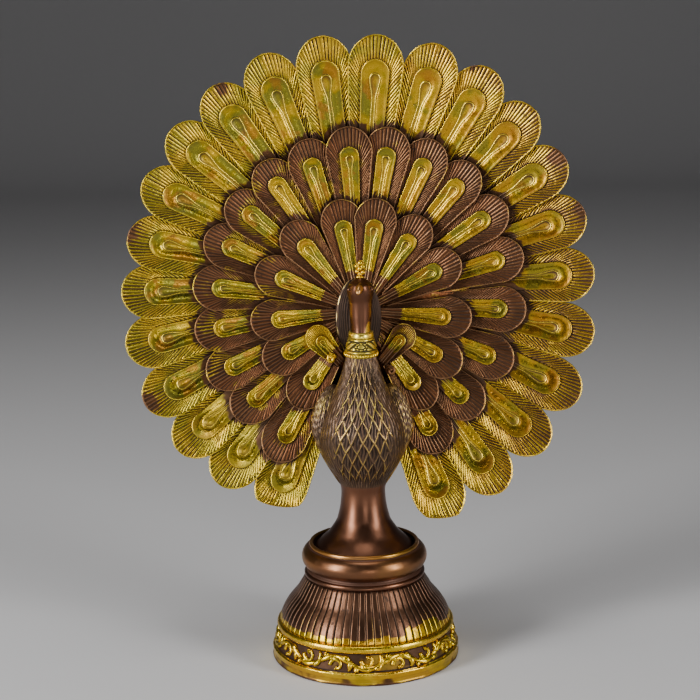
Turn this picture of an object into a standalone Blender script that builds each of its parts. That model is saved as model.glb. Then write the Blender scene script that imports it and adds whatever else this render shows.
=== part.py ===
# Peacock figurine: a bird with its tail spread as a dished fan, standing by a trumpet foot in the
# well of a turned and fluted base. Metres, +Z up, the bird faces -Y, origin under the base's centre.
import bpy
import bmesh
import math
from mathutils import Matrix, Vector

# Base, from the floor up
BASE_RADIUS = 0.0462
BASE_EDGE = 0.0008
BOTTOM_RING_HEIGHT = 0.0062
SCROLL_BAND_HEIGHT = 0.0088
SCROLL_BAND_RECESS = 0.0012
GILT_RING_HEIGHT = 0.0036
GILT_RING_RADIUS = 0.0430
FLUTE_HEIGHT = 0.0224
FLUTE_FOOT_RADIUS = 0.0424
FLUTE_TOP_RADIUS = 0.0290
FLUTE_DEPTH = 0.0007
FLUTES = 66
BEAD_HEIGHT = 0.0026
BEAD_RADIUS = 0.0297
GROOVE_HEIGHT = 0.0008
GROOVE_DEPTH = 0.0013
TORUS_HEIGHT = 0.0120
TORUS_RADIUS = 0.0308
LIP_HEIGHT = 0.0014
LIP_RADIUS = 0.0270
WELL_DEPTH = 0.0036
WELL_CLEARANCE = 0.0007
SEAT_GAP = 0.0003
TURNED_SIDES = 32

# Scrolling vine on the base's band
VINE_WAVES = 11
VINE_STEPS = 4
VINE_SWING = 0.0024
VINE_RADIUS = 0.0010

# Bird: its stem, body, neck and head are shares of its height
BIRD_HEIGHT = 0.1355
FOOT_RADIUS = 0.0243
BREAST_SPAN = 120.0
BREAST_SIDES = 16
BACK_SIDES = 12
LOZENGE_ROWS = 12
LOZENGE_DEPTH = 0.0011
COLLAR_SWELL = 0.0007
BEAK_LENGTH = 0.0062
BEAK_WIDTH = 0.0054
BEAK_SHARE = 0.960
BEAK_DROOP = 0.10
BEAK_ASIDE = 0.0012
WING_OUT = 0.0160
WING_HALF_WIDTH = 0.0090
WING_HALF_DEPTH = 0.0115
WING_HALF_HEIGHT = 0.0195
WING_ABOVE_FOOT = 0.0625
WING_LEAN = 10.0
CREST_HEIGHT = 0.0105
CREST_WIDTH = 0.0056
CREST_THICKNESS = 0.0022
CREST_BEADS = 3

# Tail fan: a shallow dish whose rows of feathers stand one on the other
HUB_ABOVE_FOOT = 0.1205
HUB_BEHIND_AXIS = 0.0140
FAN_RADIUS = 0.1145
DISH_DEPTH = 0.0150
PLATE_RADIUS = 0.0620
PLATE_FRONT = 0.0020
PLATE_BACK = 0.0018
PLATE_SIDES = 20
EYE_RISE = 0.0009
EYE_SINK = 0.0006
EYE_ROOT_GAP = 0.0010

# Rows of feathers, from the outside in. Each feather has its angle in degrees from straight up and its
# reach, a share of its row's tip radius; they are uneven, as on the hand-made original. Lengths are
# shares of the fan's radius. Lift is how far the row's face stands in front of the dish, and rise how
# far the middle of the row's circle of tips stands above the hub.
ROWS = (
    dict(name="outer", tip=1.0, root=0.437, rise=0.066,
         width=0.230, root_width=0.133, eye_width=0.101, eye_from_tip=0.107, eye_length=0.332,
         lift=0.0157, floor=-0.0122, tip_lift=0.0052, roll=5.5,
         spread=((-157.5, 0.998), (-143.6, 1.028), (-130.8, 1.032), (-117.4, 1.028), (-103.4, 1.009),
                 (-89.7, 0.993), (-76.0, 0.987), (-61.9, 1.001), (-48.5, 1.018), (-35.3, 1.032),
                 (-22.0, 1.046), (-8.2, 1.052), (4.9, 1.048), (18.7, 1.056), (31.4, 1.052),
                 (44.2, 1.029), (57.7, 1.003), (71.9, 0.983), (87.0, 0.976), (102.4, 0.998),
                 (117.4, 1.031), (131.8, 1.040), (146.1, 1.056), (160.0, 1.050))),
    dict(name="middle", tip=0.712, root=0.297, rise=0.0,
         width=0.197, root_width=0.103, eye_width=0.080, eye_from_tip=0.080, eye_length=0.253,
         lift=0.0402, floor=-0.0087, tip_lift=0.0105, roll=6.5,
         spread=((-149.8, 1.080), (-131.4, 1.010), (-115.4, 1.008), (-98.9, 0.990), (-82.2, 0.989),
                 (-64.8, 0.992), (-49.1, 0.992), (-33.4, 1.014), (-17.8, 1.020), (-3.2, 1.044),
                 (10.6, 1.052), (24.9, 1.054), (39.6, 1.052), (55.6, 1.032), (72.8, 1.000),
                 (92.9, 0.978), (113.2, 0.977), (133.6, 0.975), (152.0, 1.020))),
    dict(name="inner", tip=0.467, root=0.105, rise=-0.031,
         width=0.179, root_width=0.070, eye_width=0.075, eye_from_tip=0.087, eye_length=0.236,
         lift=0.0681, floor=-0.0052, tip_lift=0.0140, roll=6.0,
         spread=((-144.4, 1.060), (-118.8, 1.000), (-94.6, 0.992), (-65.6, 1.015), (-38.6, 1.026),
                 (-10.2, 1.029), (10.0, 1.035), (34.6, 1.020), (62.0, 1.011), (94.6, 1.005),
                 (121.2, 1.050), (144.6, 1.090))),
)
FULL_ROLL_FROM = 25.0
CAP_SHARE = 0.55
CAP_STEPS = 3
EYE_CAP_STEPS = 2
PETAL_BELLY = 1.06

# Two small curled feathers and two scroll bosses beside the collar, and the mantle behind the neck
CURL_SPREAD = 41.0
CURL_LENGTH = 0.0198
CURL_WIDTH = 0.0130
CURL_ROOT_OUT = 0.0118
CURL_ROOT_DOWN = 0.0258
CURL_LIFT = 0.0140
CURL_THICKNESS = 0.0090
CURL_TURN = 14.0
BOSS_RADIUS = 0.0025
BOSS_PLACES = ((-0.0142, 0.0255), (0.0140, 0.0320))
MANTLE_WIDTH = 0.0240
MANTLE_HEIGHT = 0.0460
MANTLE_DEPTH = 0.0130
MANTLE_DOWN = 0.0040
MANTLE_LIFT = 0.0080

BASE_COLOUR = (0.17, 0.075, 0.04, 1.0)
GILT_COLOUR = (0.62, 0.45, 0.10, 1.0)

# Heights that follow from the stack of mouldings
Z_BAND = BOTTOM_RING_HEIGHT
Z_GILT_RING = Z_BAND + SCROLL_BAND_HEIGHT
Z_FLUTES = Z_GILT_RING + GILT_RING_HEIGHT
Z_BEAD = Z_FLUTES + FLUTE_HEIGHT
Z_GROOVE = Z_BEAD + BEAD_HEIGHT
Z_TORUS = Z_GROOVE + GROOVE_HEIGHT
Z_LIP = Z_TORUS + TORUS_HEIGHT
Z_RIM = Z_LIP + LIP_HEIGHT
Z_WELL = Z_RIM - WELL_DEPTH
Z_FOOT = Z_WELL + SEAT_GAP
Z_HUB = Z_FOOT + HUB_ABOVE_FOOT


def clear_scene():
    for thing in list(bpy.data.objects):
        bpy.data.objects.remove(thing)


def collection(name):
    made = bpy.data.collections.new(name)
    bpy.context.scene.collection.children.link(made)
    return made


def metal(name, colour, roughness):
    made = bpy.data.materials.new(name)
    made.use_nodes = True
    shader = made.node_tree.nodes["Principled BSDF"]
    shader.inputs["Base Color"].default_value = colour
    shader.inputs["Roughness"].default_value = roughness
    shader.inputs["Metallic"].default_value = 1.0
    return made


def object_of(name, form, home, material=None):
    """Turns a bmesh into an object with outward faces."""
    bmesh.ops.recalc_face_normals(form, faces=form.faces)
    mesh = bpy.data.meshes.new(name)
    form.to_mesh(mesh)
    form.free()
    made = bpy.data.objects.new(name, mesh)
    home.objects.link(made)
    if material:
        mesh.materials.append(material)
    return made


def helper(made):
    made.hide_render = True
    made.display_type = "WIRE"
    return made


def join(target, pieces, name):
    modifier = target.modifiers.new(name, "BOOLEAN")
    modifier.operation = "UNION"
    modifier.solver = "EXACT"
    modifier.operand_type = "COLLECTION"
    modifier.collection = pieces


def arc(centre, across, up, first, last, steps):
    """Points of an elliptical arc in the turned profile, angles in degrees."""
    turn = [math.radians(first + (last - first) * i / steps) for i in range(steps + 1)]
    return [(centre[0] + across * math.cos(t), centre[1] + up * math.sin(t)) for t in turn]


def base_profile():
    """The turned outline of the base, from the top of its axis down to the bottom."""
    well = FOOT_RADIUS + WELL_CLEARANCE
    torus_core = TORUS_RADIUS - TORUS_HEIGHT / 2
    band_foot = BASE_RADIUS - SCROLL_BAND_RECESS
    points = [(0.0, Z_WELL), (well, Z_WELL), (well, Z_RIM)]
    points += [(LIP_RADIUS - LIP_HEIGHT / 2, Z_RIM), (LIP_RADIUS, Z_LIP)]
    points += arc((torus_core, Z_TORUS + TORUS_HEIGHT / 2), TORUS_HEIGHT / 2, TORUS_HEIGHT / 2, 55, -60, 4)
    points += [(BEAD_RADIUS - GROOVE_DEPTH, Z_GROOVE + GROOVE_HEIGHT)]
    points += [(BEAD_RADIUS - GROOVE_DEPTH, Z_GROOVE)]
    points += [(BEAD_RADIUS, Z_GROOVE - BEAD_HEIGHT / 3), (BEAD_RADIUS, Z_BEAD + BEAD_HEIGHT / 3)]
    points += [(FLUTE_TOP_RADIUS - FLUTE_DEPTH, Z_BEAD)]
    points += [(FLUTE_FOOT_RADIUS - 2 * FLUTE_DEPTH, Z_FLUTES + FLUTE_DEPTH)]
    points += [(GILT_RING_RADIUS, Z_FLUTES), (GILT_RING_RADIUS + BASE_EDGE, Z_GILT_RING + BASE_EDGE)]
    points += [(GILT_RING_RADIUS - BASE_EDGE, Z_GILT_RING), (band_foot - BASE_EDGE, Z_BAND)]
    points += [(BASE_RADIUS - BASE_EDGE, Z_BAND), (BASE_RADIUS, Z_BAND - BASE_EDGE)]
    points += [(BASE_RADIUS, BASE_EDGE)]
    points += [(BASE_RADIUS - BASE_EDGE, 0.0), (0.0, 0.0)]
    return points


def turned(name, profile, home, material):
    """A profile turned about the Z axis by a Screw modifier."""
    form = bmesh.new()
    corners = [form.verts.new((x, 0.0, z)) for x, z in profile]
    for a, b in zip(corners, corners[1:]):
        form.edges.new((a, b))
    mesh = bpy.data.meshes.new(name)
    form.to_mesh(mesh)
    form.free()
    mesh.materials.append(material)
    made = bpy.data.objects.new(name, mesh)
    home.objects.link(made)
    screw = made.modifiers.new("turn", "SCREW")
    screw.steps = screw.render_steps = TURNED_SIDES
    screw.use_merge_vertices = True
    screw.merge_threshold = 0.00005
    screw.use_smooth_shade = False
    return made


def loft(form, rings, diagonal=None):
    """Faces between rings of equal count, closed by a flat cap at each end."""
    made = [[form.verts.new(p) for p in ring] for ring in rings]
    count = len(made[0])
    for j, (low, high) in enumerate(zip(made, made[1:])):
        for k in range(count):
            a, b = low[k], low[(k + 1) % count]
            d, c = high[k], high[(k + 1) % count]
            if diagonal is None:
                form.faces.new((a, b, c, d))
            elif diagonal(j, k):
                form.faces.new((a, b, c))
                form.faces.new((a, c, d))
            else:
                form.faces.new((a, b, d))
                form.faces.new((b, c, d))
    form.faces.new(made[0][::-1])
    form.faces.new(made[-1])


def flute_radius(share):
    """Radius of the fluted bell at a share of its height: steep at the foot, straight above."""
    drop = FLUTE_FOOT_RADIUS - FLUTE_TOP_RADIUS
    return FLUTE_FOOT_RADIUS - drop * share + 0.10 * drop * math.sin(math.pi * min(1.0, share * 1.6))


def fluted_bell(home):
    rings = []
    for share in (0.0, 0.36, 1.0):
        ring = []
        for k in range(2 * FLUTES):
            turn = math.pi * k / FLUTES
            radius = flute_radius(share) - FLUTE_DEPTH * (k % 2)
            ring.append((radius * math.cos(turn), radius * math.sin(turn), Z_FLUTES + FLUTE_HEIGHT * share))
        rings.append(ring)
    form = bmesh.new()
    loft(form, rings)
    return helper(object_of("fluted_bell", form, home))


def scroll_vine(home):
    """The waving stem of the scroll relief, a tube half sunk in the band."""
    curve = bpy.data.curves.new("scroll_vine", "CURVE")
    curve.dimensions = "3D"
    curve.bevel_depth = VINE_RADIUS
    curve.bevel_resolution = 0
    spline = curve.splines.new("POLY")
    count = VINE_WAVES * VINE_STEPS
    spline.points.add(count - 1)
    spline.use_cyclic_u = True
    middle = Z_BAND + SCROLL_BAND_HEIGHT / 2
    slope = (BASE_RADIUS - SCROLL_BAND_RECESS - GILT_RING_RADIUS) / SCROLL_BAND_HEIGHT
    for i, point in enumerate(spline.points):
        turn = math.tau * i / count
        swing = VINE_SWING * math.sin(VINE_WAVES * turn)
        radius = (BASE_RADIUS - SCROLL_BAND_RECESS + GILT_RING_RADIUS) / 2 - FLUTE_DEPTH - slope * swing
        point.co = (radius * math.cos(turn), radius * math.sin(turn), middle + swing, 1.0)
    drawn = bpy.data.objects.new("scroll_vine_curve", curve)
    home.objects.link(drawn)
    bpy.context.view_layer.update()
    graph = bpy.context.evaluated_depsgraph_get()
    mesh = bpy.data.meshes.new_from_object(drawn.evaluated_get(graph))
    bpy.data.objects.remove(drawn)
    made = bpy.data.objects.new("scroll_vine", mesh)
    home.objects.link(made)
    return helper(made)


def make_base(home, cutters):
    bronze = metal("patinated_bronze", BASE_COLOUR, 0.38)
    base = turned("base", base_profile(), home, bronze)
    fluted_bell(cutters)
    scroll_vine(cutters)
    join(base, cutters, "flutes and scroll")
    return base


# Bird outline: share of the bird's height, half width and half depth in shares of the foot radius,
# and how far the section's middle stands in front of the axis, in the same shares
OUTLINE = (
    (0.000, 1.00, 1.00, 0.00), (0.020, 0.93, 0.93, 0.00), (0.055, 0.72, 0.72, 0.00),
    (0.105, 0.54, 0.54, 0.00), (0.185, 0.45, 0.45, 0.00), (0.245, 0.48, 0.48, 0.01),
    (0.320, 0.74, 0.72, 0.04), (0.375, 0.86, 0.86, 0.08), (0.435, 0.890, 0.95, 0.12),
    (0.500, 0.800, 0.92, 0.15), (0.560, 0.640, 0.80, 0.19), (0.610, 0.500, 0.66, 0.23),
    (0.660, 0.400, 0.50, 0.27), (0.700, 0.335, 0.41, 0.29), (0.755, 0.262, 0.35, 0.30),
    (0.810, 0.205, 0.29, 0.30), (0.860, 0.203, 0.26, 0.31), (0.915, 0.212, 0.265, 0.35),
    (0.950, 0.250, 0.34, 0.42), (0.978, 0.215, 0.30, 0.44), (1.000, 0.080, 0.11, 0.44),
)
BELLY_FROM = 0.26
BELLY_TO = 0.715
COLLAR_FROM = 0.725
COLLAR_TO = 0.808


def smooth_row(share):
    """The outline's row at any share of the height, by a Catmull-Rom curve through the table."""
    rows = OUTLINE
    i = max(n for n in range(len(rows) - 1) if rows[n][0] <= share)
    before, a, b, after = rows[max(i - 1, 0)], rows[i], rows[i + 1], rows[min(i + 2, len(rows) - 1)]
    t = (share - a[0]) / (b[0] - a[0])
    out = []
    for p, q, r, s in zip(before[1:], a[1:], b[1:], after[1:]):
        out.append(0.5 * (2 * q + (r - p) * t + (2 * p - 5 * q + 4 * r - s) * t * t
                          + (3 * q - p - 3 * r + s) * t ** 3))
    return out


def body_ring(share, swell=0.0, lozenge_row=None):
    """A section of the bird. Close columns carry the breast's lozenges, wide ones go round the back."""
    wide, deep, forward = (v * FOOT_RADIUS for v in smooth_row(share))
    ring = []
    for k in range(BREAST_SIDES + BACK_SIDES):
        if k <= BREAST_SIDES:
            degrees = -90.0 - BREAST_SPAN / 2 + BREAST_SPAN * k / BREAST_SIDES
        else:
            degrees = -90.0 + BREAST_SPAN / 2 + (360.0 - BREAST_SPAN) * (k - BREAST_SIDES) / BACK_SIDES
        turn = math.radians(degrees)
        pit = lozenge_row is not None and k <= BREAST_SIDES and (lozenge_row + k) % 2
        cut = LOZENGE_DEPTH if pit else 0.0
        ring.append(((wide + swell - cut) * math.cos(turn), (deep + swell - cut) * math.sin(turn) - forward,
                     Z_FOOT + BIRD_HEIGHT * share))
    return ring


def bird_body(home, material):
    """Stem, body, neck and head in one loft; the belly's lozenges alternate crest and pit."""
    rings = [body_ring(s) for s in (0.0, 0.03, 0.07, 0.13, 0.21)]
    first_lozenge = len(rings)
    for j in range(LOZENGE_ROWS):
        share = BELLY_FROM + (BELLY_TO - BELLY_FROM) * j / (LOZENGE_ROWS - 1)
        rings.append(body_ring(share, 0.0, j))
    collar = (COLLAR_TO - COLLAR_FROM) / 5
    rings.append(body_ring(COLLAR_FROM, COLLAR_SWELL))
    for j in (1, 4):
        rings.append(body_ring(COLLAR_FROM + collar * j, COLLAR_SWELL * (0.25 if j == 1 else 0.4)))
    rings += [body_ring(COLLAR_TO, COLLAR_SWELL * 0.8), body_ring(COLLAR_TO + 0.006)]
    rings += [body_ring(s) for s in (0.90, 0.935, 0.965, 0.985, 1.0)]
    form = bmesh.new()
    loft(form, rings, lambda j, k: (j - first_lozenge + k) % 2 == 0)
    return object_of("peacock", form, home, material)


def head_front():
    """Where the beak leaves the head."""
    wide, deep, forward = (v * FOOT_RADIUS for v in smooth_row(BEAK_SHARE))
    return Vector((0.0, -forward - deep * 0.75, Z_FOOT + BIRD_HEIGHT * BEAK_SHARE))


def beak(home):
    form = bmesh.new()
    start = head_front()
    rings = []
    for share, taper in ((0.0, 1.0), (0.4, 0.8), (0.75, 0.46), (1.0, 0.16)):
        half = BEAK_WIDTH / 2 * taper
        middle = start + Vector((-BEAK_ASIDE * share, -BEAK_LENGTH * share,
                                 -BEAK_LENGTH * BEAK_DROOP * share * share))
        rings.append([middle + Vector((half * math.cos(math.tau * k / 8), 0.0,
                                       1.15 * half * math.sin(math.tau * k / 8))) for k in range(8)])
    loft(form, rings)
    return helper(object_of("beak", form, home))


def wings(home):
    """The folded wings, a smooth lobe on each flank."""
    for side, word in ((-1.0, "left"), (1.0, "right")):
        form = bmesh.new()
        place = Matrix.Translation((side * WING_OUT, 0.0, Z_FOOT + WING_ABOVE_FOOT))
        lean = Matrix.Rotation(math.radians(-side * WING_LEAN), 4, "Y")
        shape = place @ lean @ Matrix.Diagonal((WING_HALF_WIDTH, WING_HALF_DEPTH, WING_HALF_HEIGHT, 1.0))
        bmesh.ops.create_uvsphere(form, u_segments=12, v_segments=7, radius=1.0, matrix=shape)
        helper(object_of(f"wing_{word}", form, home))


def crest(home):
    """A small upright fan on the crown with beads along its top."""
    wide, deep, forward = (v * FOOT_RADIUS for v in smooth_row(0.97))
    foot = Z_FOOT + BIRD_HEIGHT * 0.985
    bead = CREST_WIDTH / CREST_BEADS * 0.62
    form = bmesh.new()
    rings = []
    for share, half in ((0.0, 0.30), (0.5, 0.36), (1.0, 0.44)):
        z = foot + (CREST_HEIGHT - bead) * share
        rings.append([(CREST_WIDTH * half * math.cos(math.tau * k / 8),
                       CREST_THICKNESS / 2 * math.sin(math.tau * k / 8) - forward, z) for k in range(8)])
    loft(form, rings)
    helper(object_of("crest", form, home))
    for i in range(CREST_BEADS):
        lean = (i - (CREST_BEADS - 1) / 2) / (CREST_BEADS / 2)
        form = bmesh.new()
        drop = CREST_WIDTH * 0.14 * abs(lean)
        place = Vector((CREST_WIDTH * 0.45 * lean, -forward, foot + CREST_HEIGHT - bead - drop))
        bmesh.ops.create_icosphere(form, subdivisions=1, radius=bead, matrix=Matrix.Translation(place))
        helper(object_of(f"crest_bead_{i}", form, home))


def dish(radius):
    """How far behind the body's axis the dish lies at a radius from the hub."""
    return HUB_BEHIND_AXIS - DISH_DEPTH * (radius / FAN_RADIUS) ** 2


def slab(stations, front, back):
    """A closed petal plate on the dish, pointing up from the hub. Stations are (radius, half width),
    root first, and the last is the tip. Front and back give the faces' heights before the dish."""
    form = bmesh.new()
    tip_radius = stations[-1][0]

    def side(height):
        pairs = []
        for radius, half in stations[:-1]:
            y = dish(radius) - height(radius)
            pairs.append((form.verts.new((-half, y, radius)), form.verts.new((half, y, radius))))
        tip = form.verts.new((0.0, dish(tip_radius) - height(tip_radius), tip_radius))
        for (a, b), (c, d) in zip(pairs, pairs[1:]):
            form.faces.new((a, b, d, c))
        form.faces.new((pairs[-1][0], pairs[-1][1], tip))
        return [p[0] for p in pairs] + [tip] + [p[1] for p in reversed(pairs)]

    rim_front, rim_back = side(front), side(back)
    count = len(rim_front)
    for k in range(count):
        following = (k + 1) % count
        form.faces.new((rim_front[k], rim_front[following], rim_back[following], rim_back[k]))
    return form


def petal(tip, root, width, root_width, cap, steps, belly=False):
    """Stations of a round-ended petal: a straight or swelling taper, then a cap of elliptical arc."""
    widest = tip - cap
    stations = [(root, root_width / 2)]
    if belly:
        stations.append(((root + widest) / 2, PETAL_BELLY * (root_width + width) / 4))
    for i in range(steps + 1):
        turn = math.radians(90.0 * i / steps)
        stations.append((widest + cap * math.sin(turn), width / 2 * math.cos(turn)))
    stations[-1] = (tip, 0.0)
    return stations


def place_feather(form, angle, row):
    """Rolls a feather about its own length and swings it round the fan's middle."""
    side = -1.0 if angle > 0 else 1.0
    roll = Matrix.Rotation(side * math.radians(row["roll"]) * min(1.0, abs(angle) / FULL_ROLL_FROM), 4, "Z")
    swing = Matrix.Rotation(math.radians(angle), 4, "Y")
    lean = Matrix.Translation((0.0, 0.0, Z_HUB + FAN_RADIUS * row["rise"]))
    bmesh.ops.transform(form, matrix=lean @ swing @ roll, verts=form.verts)


def feather(row, angle, reach, index, home):
    tip = FAN_RADIUS * row["tip"] * reach
    root, width = FAN_RADIUS * row["root"], FAN_RADIUS * row["width"]
    root_width, eye_width = FAN_RADIUS * row["root_width"], FAN_RADIUS * row["eye_width"]

    def face(radius):
        share = (radius - root) / (tip - root)
        return FAN_RADIUS * (row["lift"] + row["tip_lift"] * share * share)

    outline = petal(tip, root, width, root_width, CAP_SHARE * width, CAP_STEPS, row["name"] == "outer")
    plate = slab(outline, face, lambda radius: FAN_RADIUS * row["floor"])
    place_feather(plate, angle, row)
    helper(object_of(f"{row['name']}_{index}", plate, home))
    eye_tip = tip - FAN_RADIUS * row["eye_from_tip"]
    eye_root = max(eye_tip - FAN_RADIUS * row["eye_length"], root + EYE_ROOT_GAP)
    outline = petal(eye_tip, eye_root, eye_width, 0.5 * eye_width, 0.5 * eye_width, EYE_CAP_STEPS)
    eye = slab(outline, lambda radius: face(radius) + EYE_RISE, lambda radius: face(radius) - EYE_SINK)
    place_feather(eye, angle, row)
    helper(object_of(f"{row['name']}_eye_{index}", eye, home))


def fan_plate(home):
    """The dished disc that the feathers' roots stand on."""
    form = bmesh.new()
    rings = []
    for share, height in ((0.35, -PLATE_BACK), (0.7, -PLATE_BACK), (1.0, -PLATE_BACK),
                          (1.0, PLATE_FRONT), (0.6, PLATE_FRONT)):
        radius = PLATE_RADIUS * share
        rings.append([(radius * math.cos(math.tau * k / PLATE_SIDES), dish(radius) - height,
                       Z_HUB + radius * math.sin(math.tau * k / PLATE_SIDES)) for k in range(PLATE_SIDES)])
    loft(form, rings)
    return helper(object_of("fan_plate", form, home))


def curl_feathers(home):
    """The two small feathers that stand out beside the collar, each with its eye."""
    for side, word in ((-1.0, "left"), (1.0, "right")):
        cap = 0.5 * CURL_WIDTH
        swing = Matrix.Rotation(math.radians(side * CURL_SPREAD), 4, "Y")
        turn = Matrix.Rotation(math.radians(-side * CURL_TURN), 4, "Z")
        root = Matrix.Translation((side * CURL_ROOT_OUT, 0.0, Z_HUB - CURL_ROOT_DOWN))
        plate = slab(petal(CURL_LENGTH, 0.0, CURL_WIDTH, 0.6 * CURL_WIDTH, cap, CAP_STEPS),
                     lambda radius: CURL_LIFT, lambda radius: CURL_LIFT - CURL_THICKNESS)
        outline = petal(CURL_LENGTH - cap, EYE_ROOT_GAP, 0.45 * CURL_WIDTH, 0.3 * CURL_WIDTH, 0.5 * cap,
                        EYE_CAP_STEPS)
        eye = slab(outline, lambda radius: CURL_LIFT + EYE_RISE, lambda radius: CURL_LIFT - EYE_SINK)
        for name, form in (("curl_feather", plate), ("curl_eye", eye)):
            bmesh.ops.transform(form, matrix=root @ swing @ turn, verts=form.verts)
            helper(object_of(f"{name}_{word}", form, home))


def scroll_bosses(home):
    for word, (out, down) in zip(("left", "right"), BOSS_PLACES):
        form = bmesh.new()
        place = Vector((out, HUB_BEHIND_AXIS - CURL_LIFT, Z_HUB - down))
        shape = Matrix.Translation(place) @ Matrix.Diagonal((1.0, 1.8, 1.0, 1.0))
        bmesh.ops.create_uvsphere(form, u_segments=8, v_segments=6, radius=BOSS_RADIUS, matrix=shape)
        helper(object_of(f"scroll_boss_{word}", form, home))


def mantle(home):
    """The smooth oval swelling of feathers behind the neck."""
    form = bmesh.new()
    place = Vector((0.0, HUB_BEHIND_AXIS - MANTLE_LIFT, Z_HUB - MANTLE_DOWN))
    shape = Matrix.Translation(place) @ Matrix.Diagonal((MANTLE_WIDTH, MANTLE_DEPTH, MANTLE_HEIGHT, 1.0))
    bmesh.ops.create_uvsphere(form, u_segments=14, v_segments=8, radius=0.5, matrix=shape)
    return helper(object_of("mantle", form, home))


def make_peacock(home, cutters):
    gilt = metal("gilded_bronze", GILT_COLOUR, 0.32)
    peacock = bird_body(home, gilt)
    beak(cutters)
    wings(cutters)
    crest(cutters)
    mantle(cutters)
    curl_feathers(cutters)
    scroll_bosses(cutters)
    fan_plate(cutters)
    for row in ROWS:
        for index, (angle, reach) in enumerate(row["spread"]):
            feather(row, angle, reach, index, cutters)
    join(peacock, cutters, "tail and crest")
    return peacock


clear_scene()
figurine = collection("peacock_figurine")
make_base(figurine, collection("base_helpers"))
make_peacock(figurine, collection("bird_helpers"))
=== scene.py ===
import math
import bpy
import bmesh
import numpy as np
from mathutils import Matrix, Vector


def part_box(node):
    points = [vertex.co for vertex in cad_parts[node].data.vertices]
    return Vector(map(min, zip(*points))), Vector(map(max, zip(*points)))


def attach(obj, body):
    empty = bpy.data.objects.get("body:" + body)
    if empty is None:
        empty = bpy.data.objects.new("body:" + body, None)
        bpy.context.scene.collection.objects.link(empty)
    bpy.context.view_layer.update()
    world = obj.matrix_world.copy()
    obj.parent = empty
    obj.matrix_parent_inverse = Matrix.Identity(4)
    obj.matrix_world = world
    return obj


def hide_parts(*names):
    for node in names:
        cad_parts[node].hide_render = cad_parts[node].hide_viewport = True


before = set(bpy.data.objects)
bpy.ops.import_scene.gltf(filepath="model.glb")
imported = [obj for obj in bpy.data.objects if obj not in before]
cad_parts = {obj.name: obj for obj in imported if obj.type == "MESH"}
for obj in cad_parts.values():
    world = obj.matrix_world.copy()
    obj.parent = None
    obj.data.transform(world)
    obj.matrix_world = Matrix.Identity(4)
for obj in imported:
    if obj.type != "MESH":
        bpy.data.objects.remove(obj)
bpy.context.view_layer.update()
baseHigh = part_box("base")[1]
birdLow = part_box("peacock")[0]
print(f"frame loaded: base {baseHigh.z * 1000:.1f} mm high, bird from {birdLow.z * 1000:.1f} mm")


# Small tools for node trees

class Bench:
    # Makes nodes in one tree, and plugs sockets or plain values into them
    def __init__(self, tree):
        self.tree = tree

    def add(self, kind, plugs=(), **settings):
        made = self.tree.nodes.new(kind)
        for name, value in settings.items():
            setattr(made, name, value)
        for key, value in dict(plugs).items():
            self.plug(made.inputs[key], value)
        return made

    def plug(self, socket, value):
        if isinstance(value, bpy.types.NodeSocket):
            self.tree.links.new(value, socket)
        else:
            socket.default_value = value

    def calc(self, operation, *values):
        made = self.add("ShaderNodeMath", operation=operation)
        for socket, value in zip(made.inputs, values):
            self.plug(socket, value)
        return made.outputs[0]

    def plus(self, first, second):
        return self.calc("ADD", first, second)

    def minus(self, first, second):
        return self.calc("SUBTRACT", first, second)

    def times(self, first, second):
        return self.calc("MULTIPLY", first, second)

    def clamp(self, value, low, high):
        made = self.add("ShaderNodeMapRange", {"Value": value, "From Min": low, "From Max": high},
                        interpolation_type="SMOOTHSTEP")
        return made.outputs["Result"]

    def blend(self, factor, first, second):
        made = self.add("ShaderNodeMix", data_type="RGBA", clamp_factor=True)
        self.plug(made.inputs["Factor"], factor)
        self.plug(made.inputs[6], first)
        self.plug(made.inputs[7], second)
        return made.outputs[2]


def floatSockets(values):
    return [(name, "NodeSocketFloat", value) for name, value in values.items()]


def newGroup(name, kind, inputs, outputs):
    tree = bpy.data.node_groups.new(name, kind)
    for direction, sockets in (("INPUT", inputs), ("OUTPUT", outputs)):
        for socketName, socketType, value in sockets:
            socket = tree.interface.new_socket(name=socketName, in_out=direction, socket_type=socketType)
            if value is not None:
                socket.default_value = value
    bench = Bench(tree)
    return bench, bench.add("NodeGroupInput").outputs, bench.add("NodeGroupOutput").inputs


# Shared surface effects

skinMix = {"shift": (0.31, 0.17, 0.53), "cloud": (0.35, 0.65), "secondCloud": (0.38, 0.62), "swell": 0.38,
           "speck": (0.66, 0.74)}


def castSkinGroup():
    # Uneven cast skin: broad clouds, fine grain, and small dark specks
    scales = {"Cloud Scale": 30.0, "Grain Scale": 900.0, "Speck Scale": 260.0}
    effects = dict.fromkeys(("Cloud", "Second Cloud", "Grain", "Speck", "Swell"))
    bench, given, out = newGroup("cast skin", "ShaderNodeTree", floatSockets(scales), floatSockets(effects))
    place = bench.add("ShaderNodeTexCoord").outputs["Object"]
    shifted = bench.add("ShaderNodeMapping", {"Vector": place, "Location": skinMix["shift"]}).outputs[0]

    def noise(vector, scale, detail):
        plugs = {"Vector": vector, "Scale": scale, "Detail": detail}
        return bench.add("ShaderNodeTexNoise", plugs).outputs[0]

    clouds, secondClouds = noise(place, given["Cloud Scale"], 3.0), noise(shifted, given["Cloud Scale"], 2.0)
    bench.plug(out["Cloud"], bench.clamp(clouds, *skinMix["cloud"]))
    bench.plug(out["Second Cloud"], bench.clamp(secondClouds, *skinMix["secondCloud"]))
    bench.plug(out["Grain"], noise(place, given["Grain Scale"], 4.0))
    bench.plug(out["Swell"], noise(shifted, bench.times(given["Grain Scale"], skinMix["swell"]), 2.0))
    bench.plug(out["Speck"], bench.clamp(noise(shifted, given["Speck Scale"], 2.0), *skinMix["speck"]))
    return bench.tree


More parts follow.
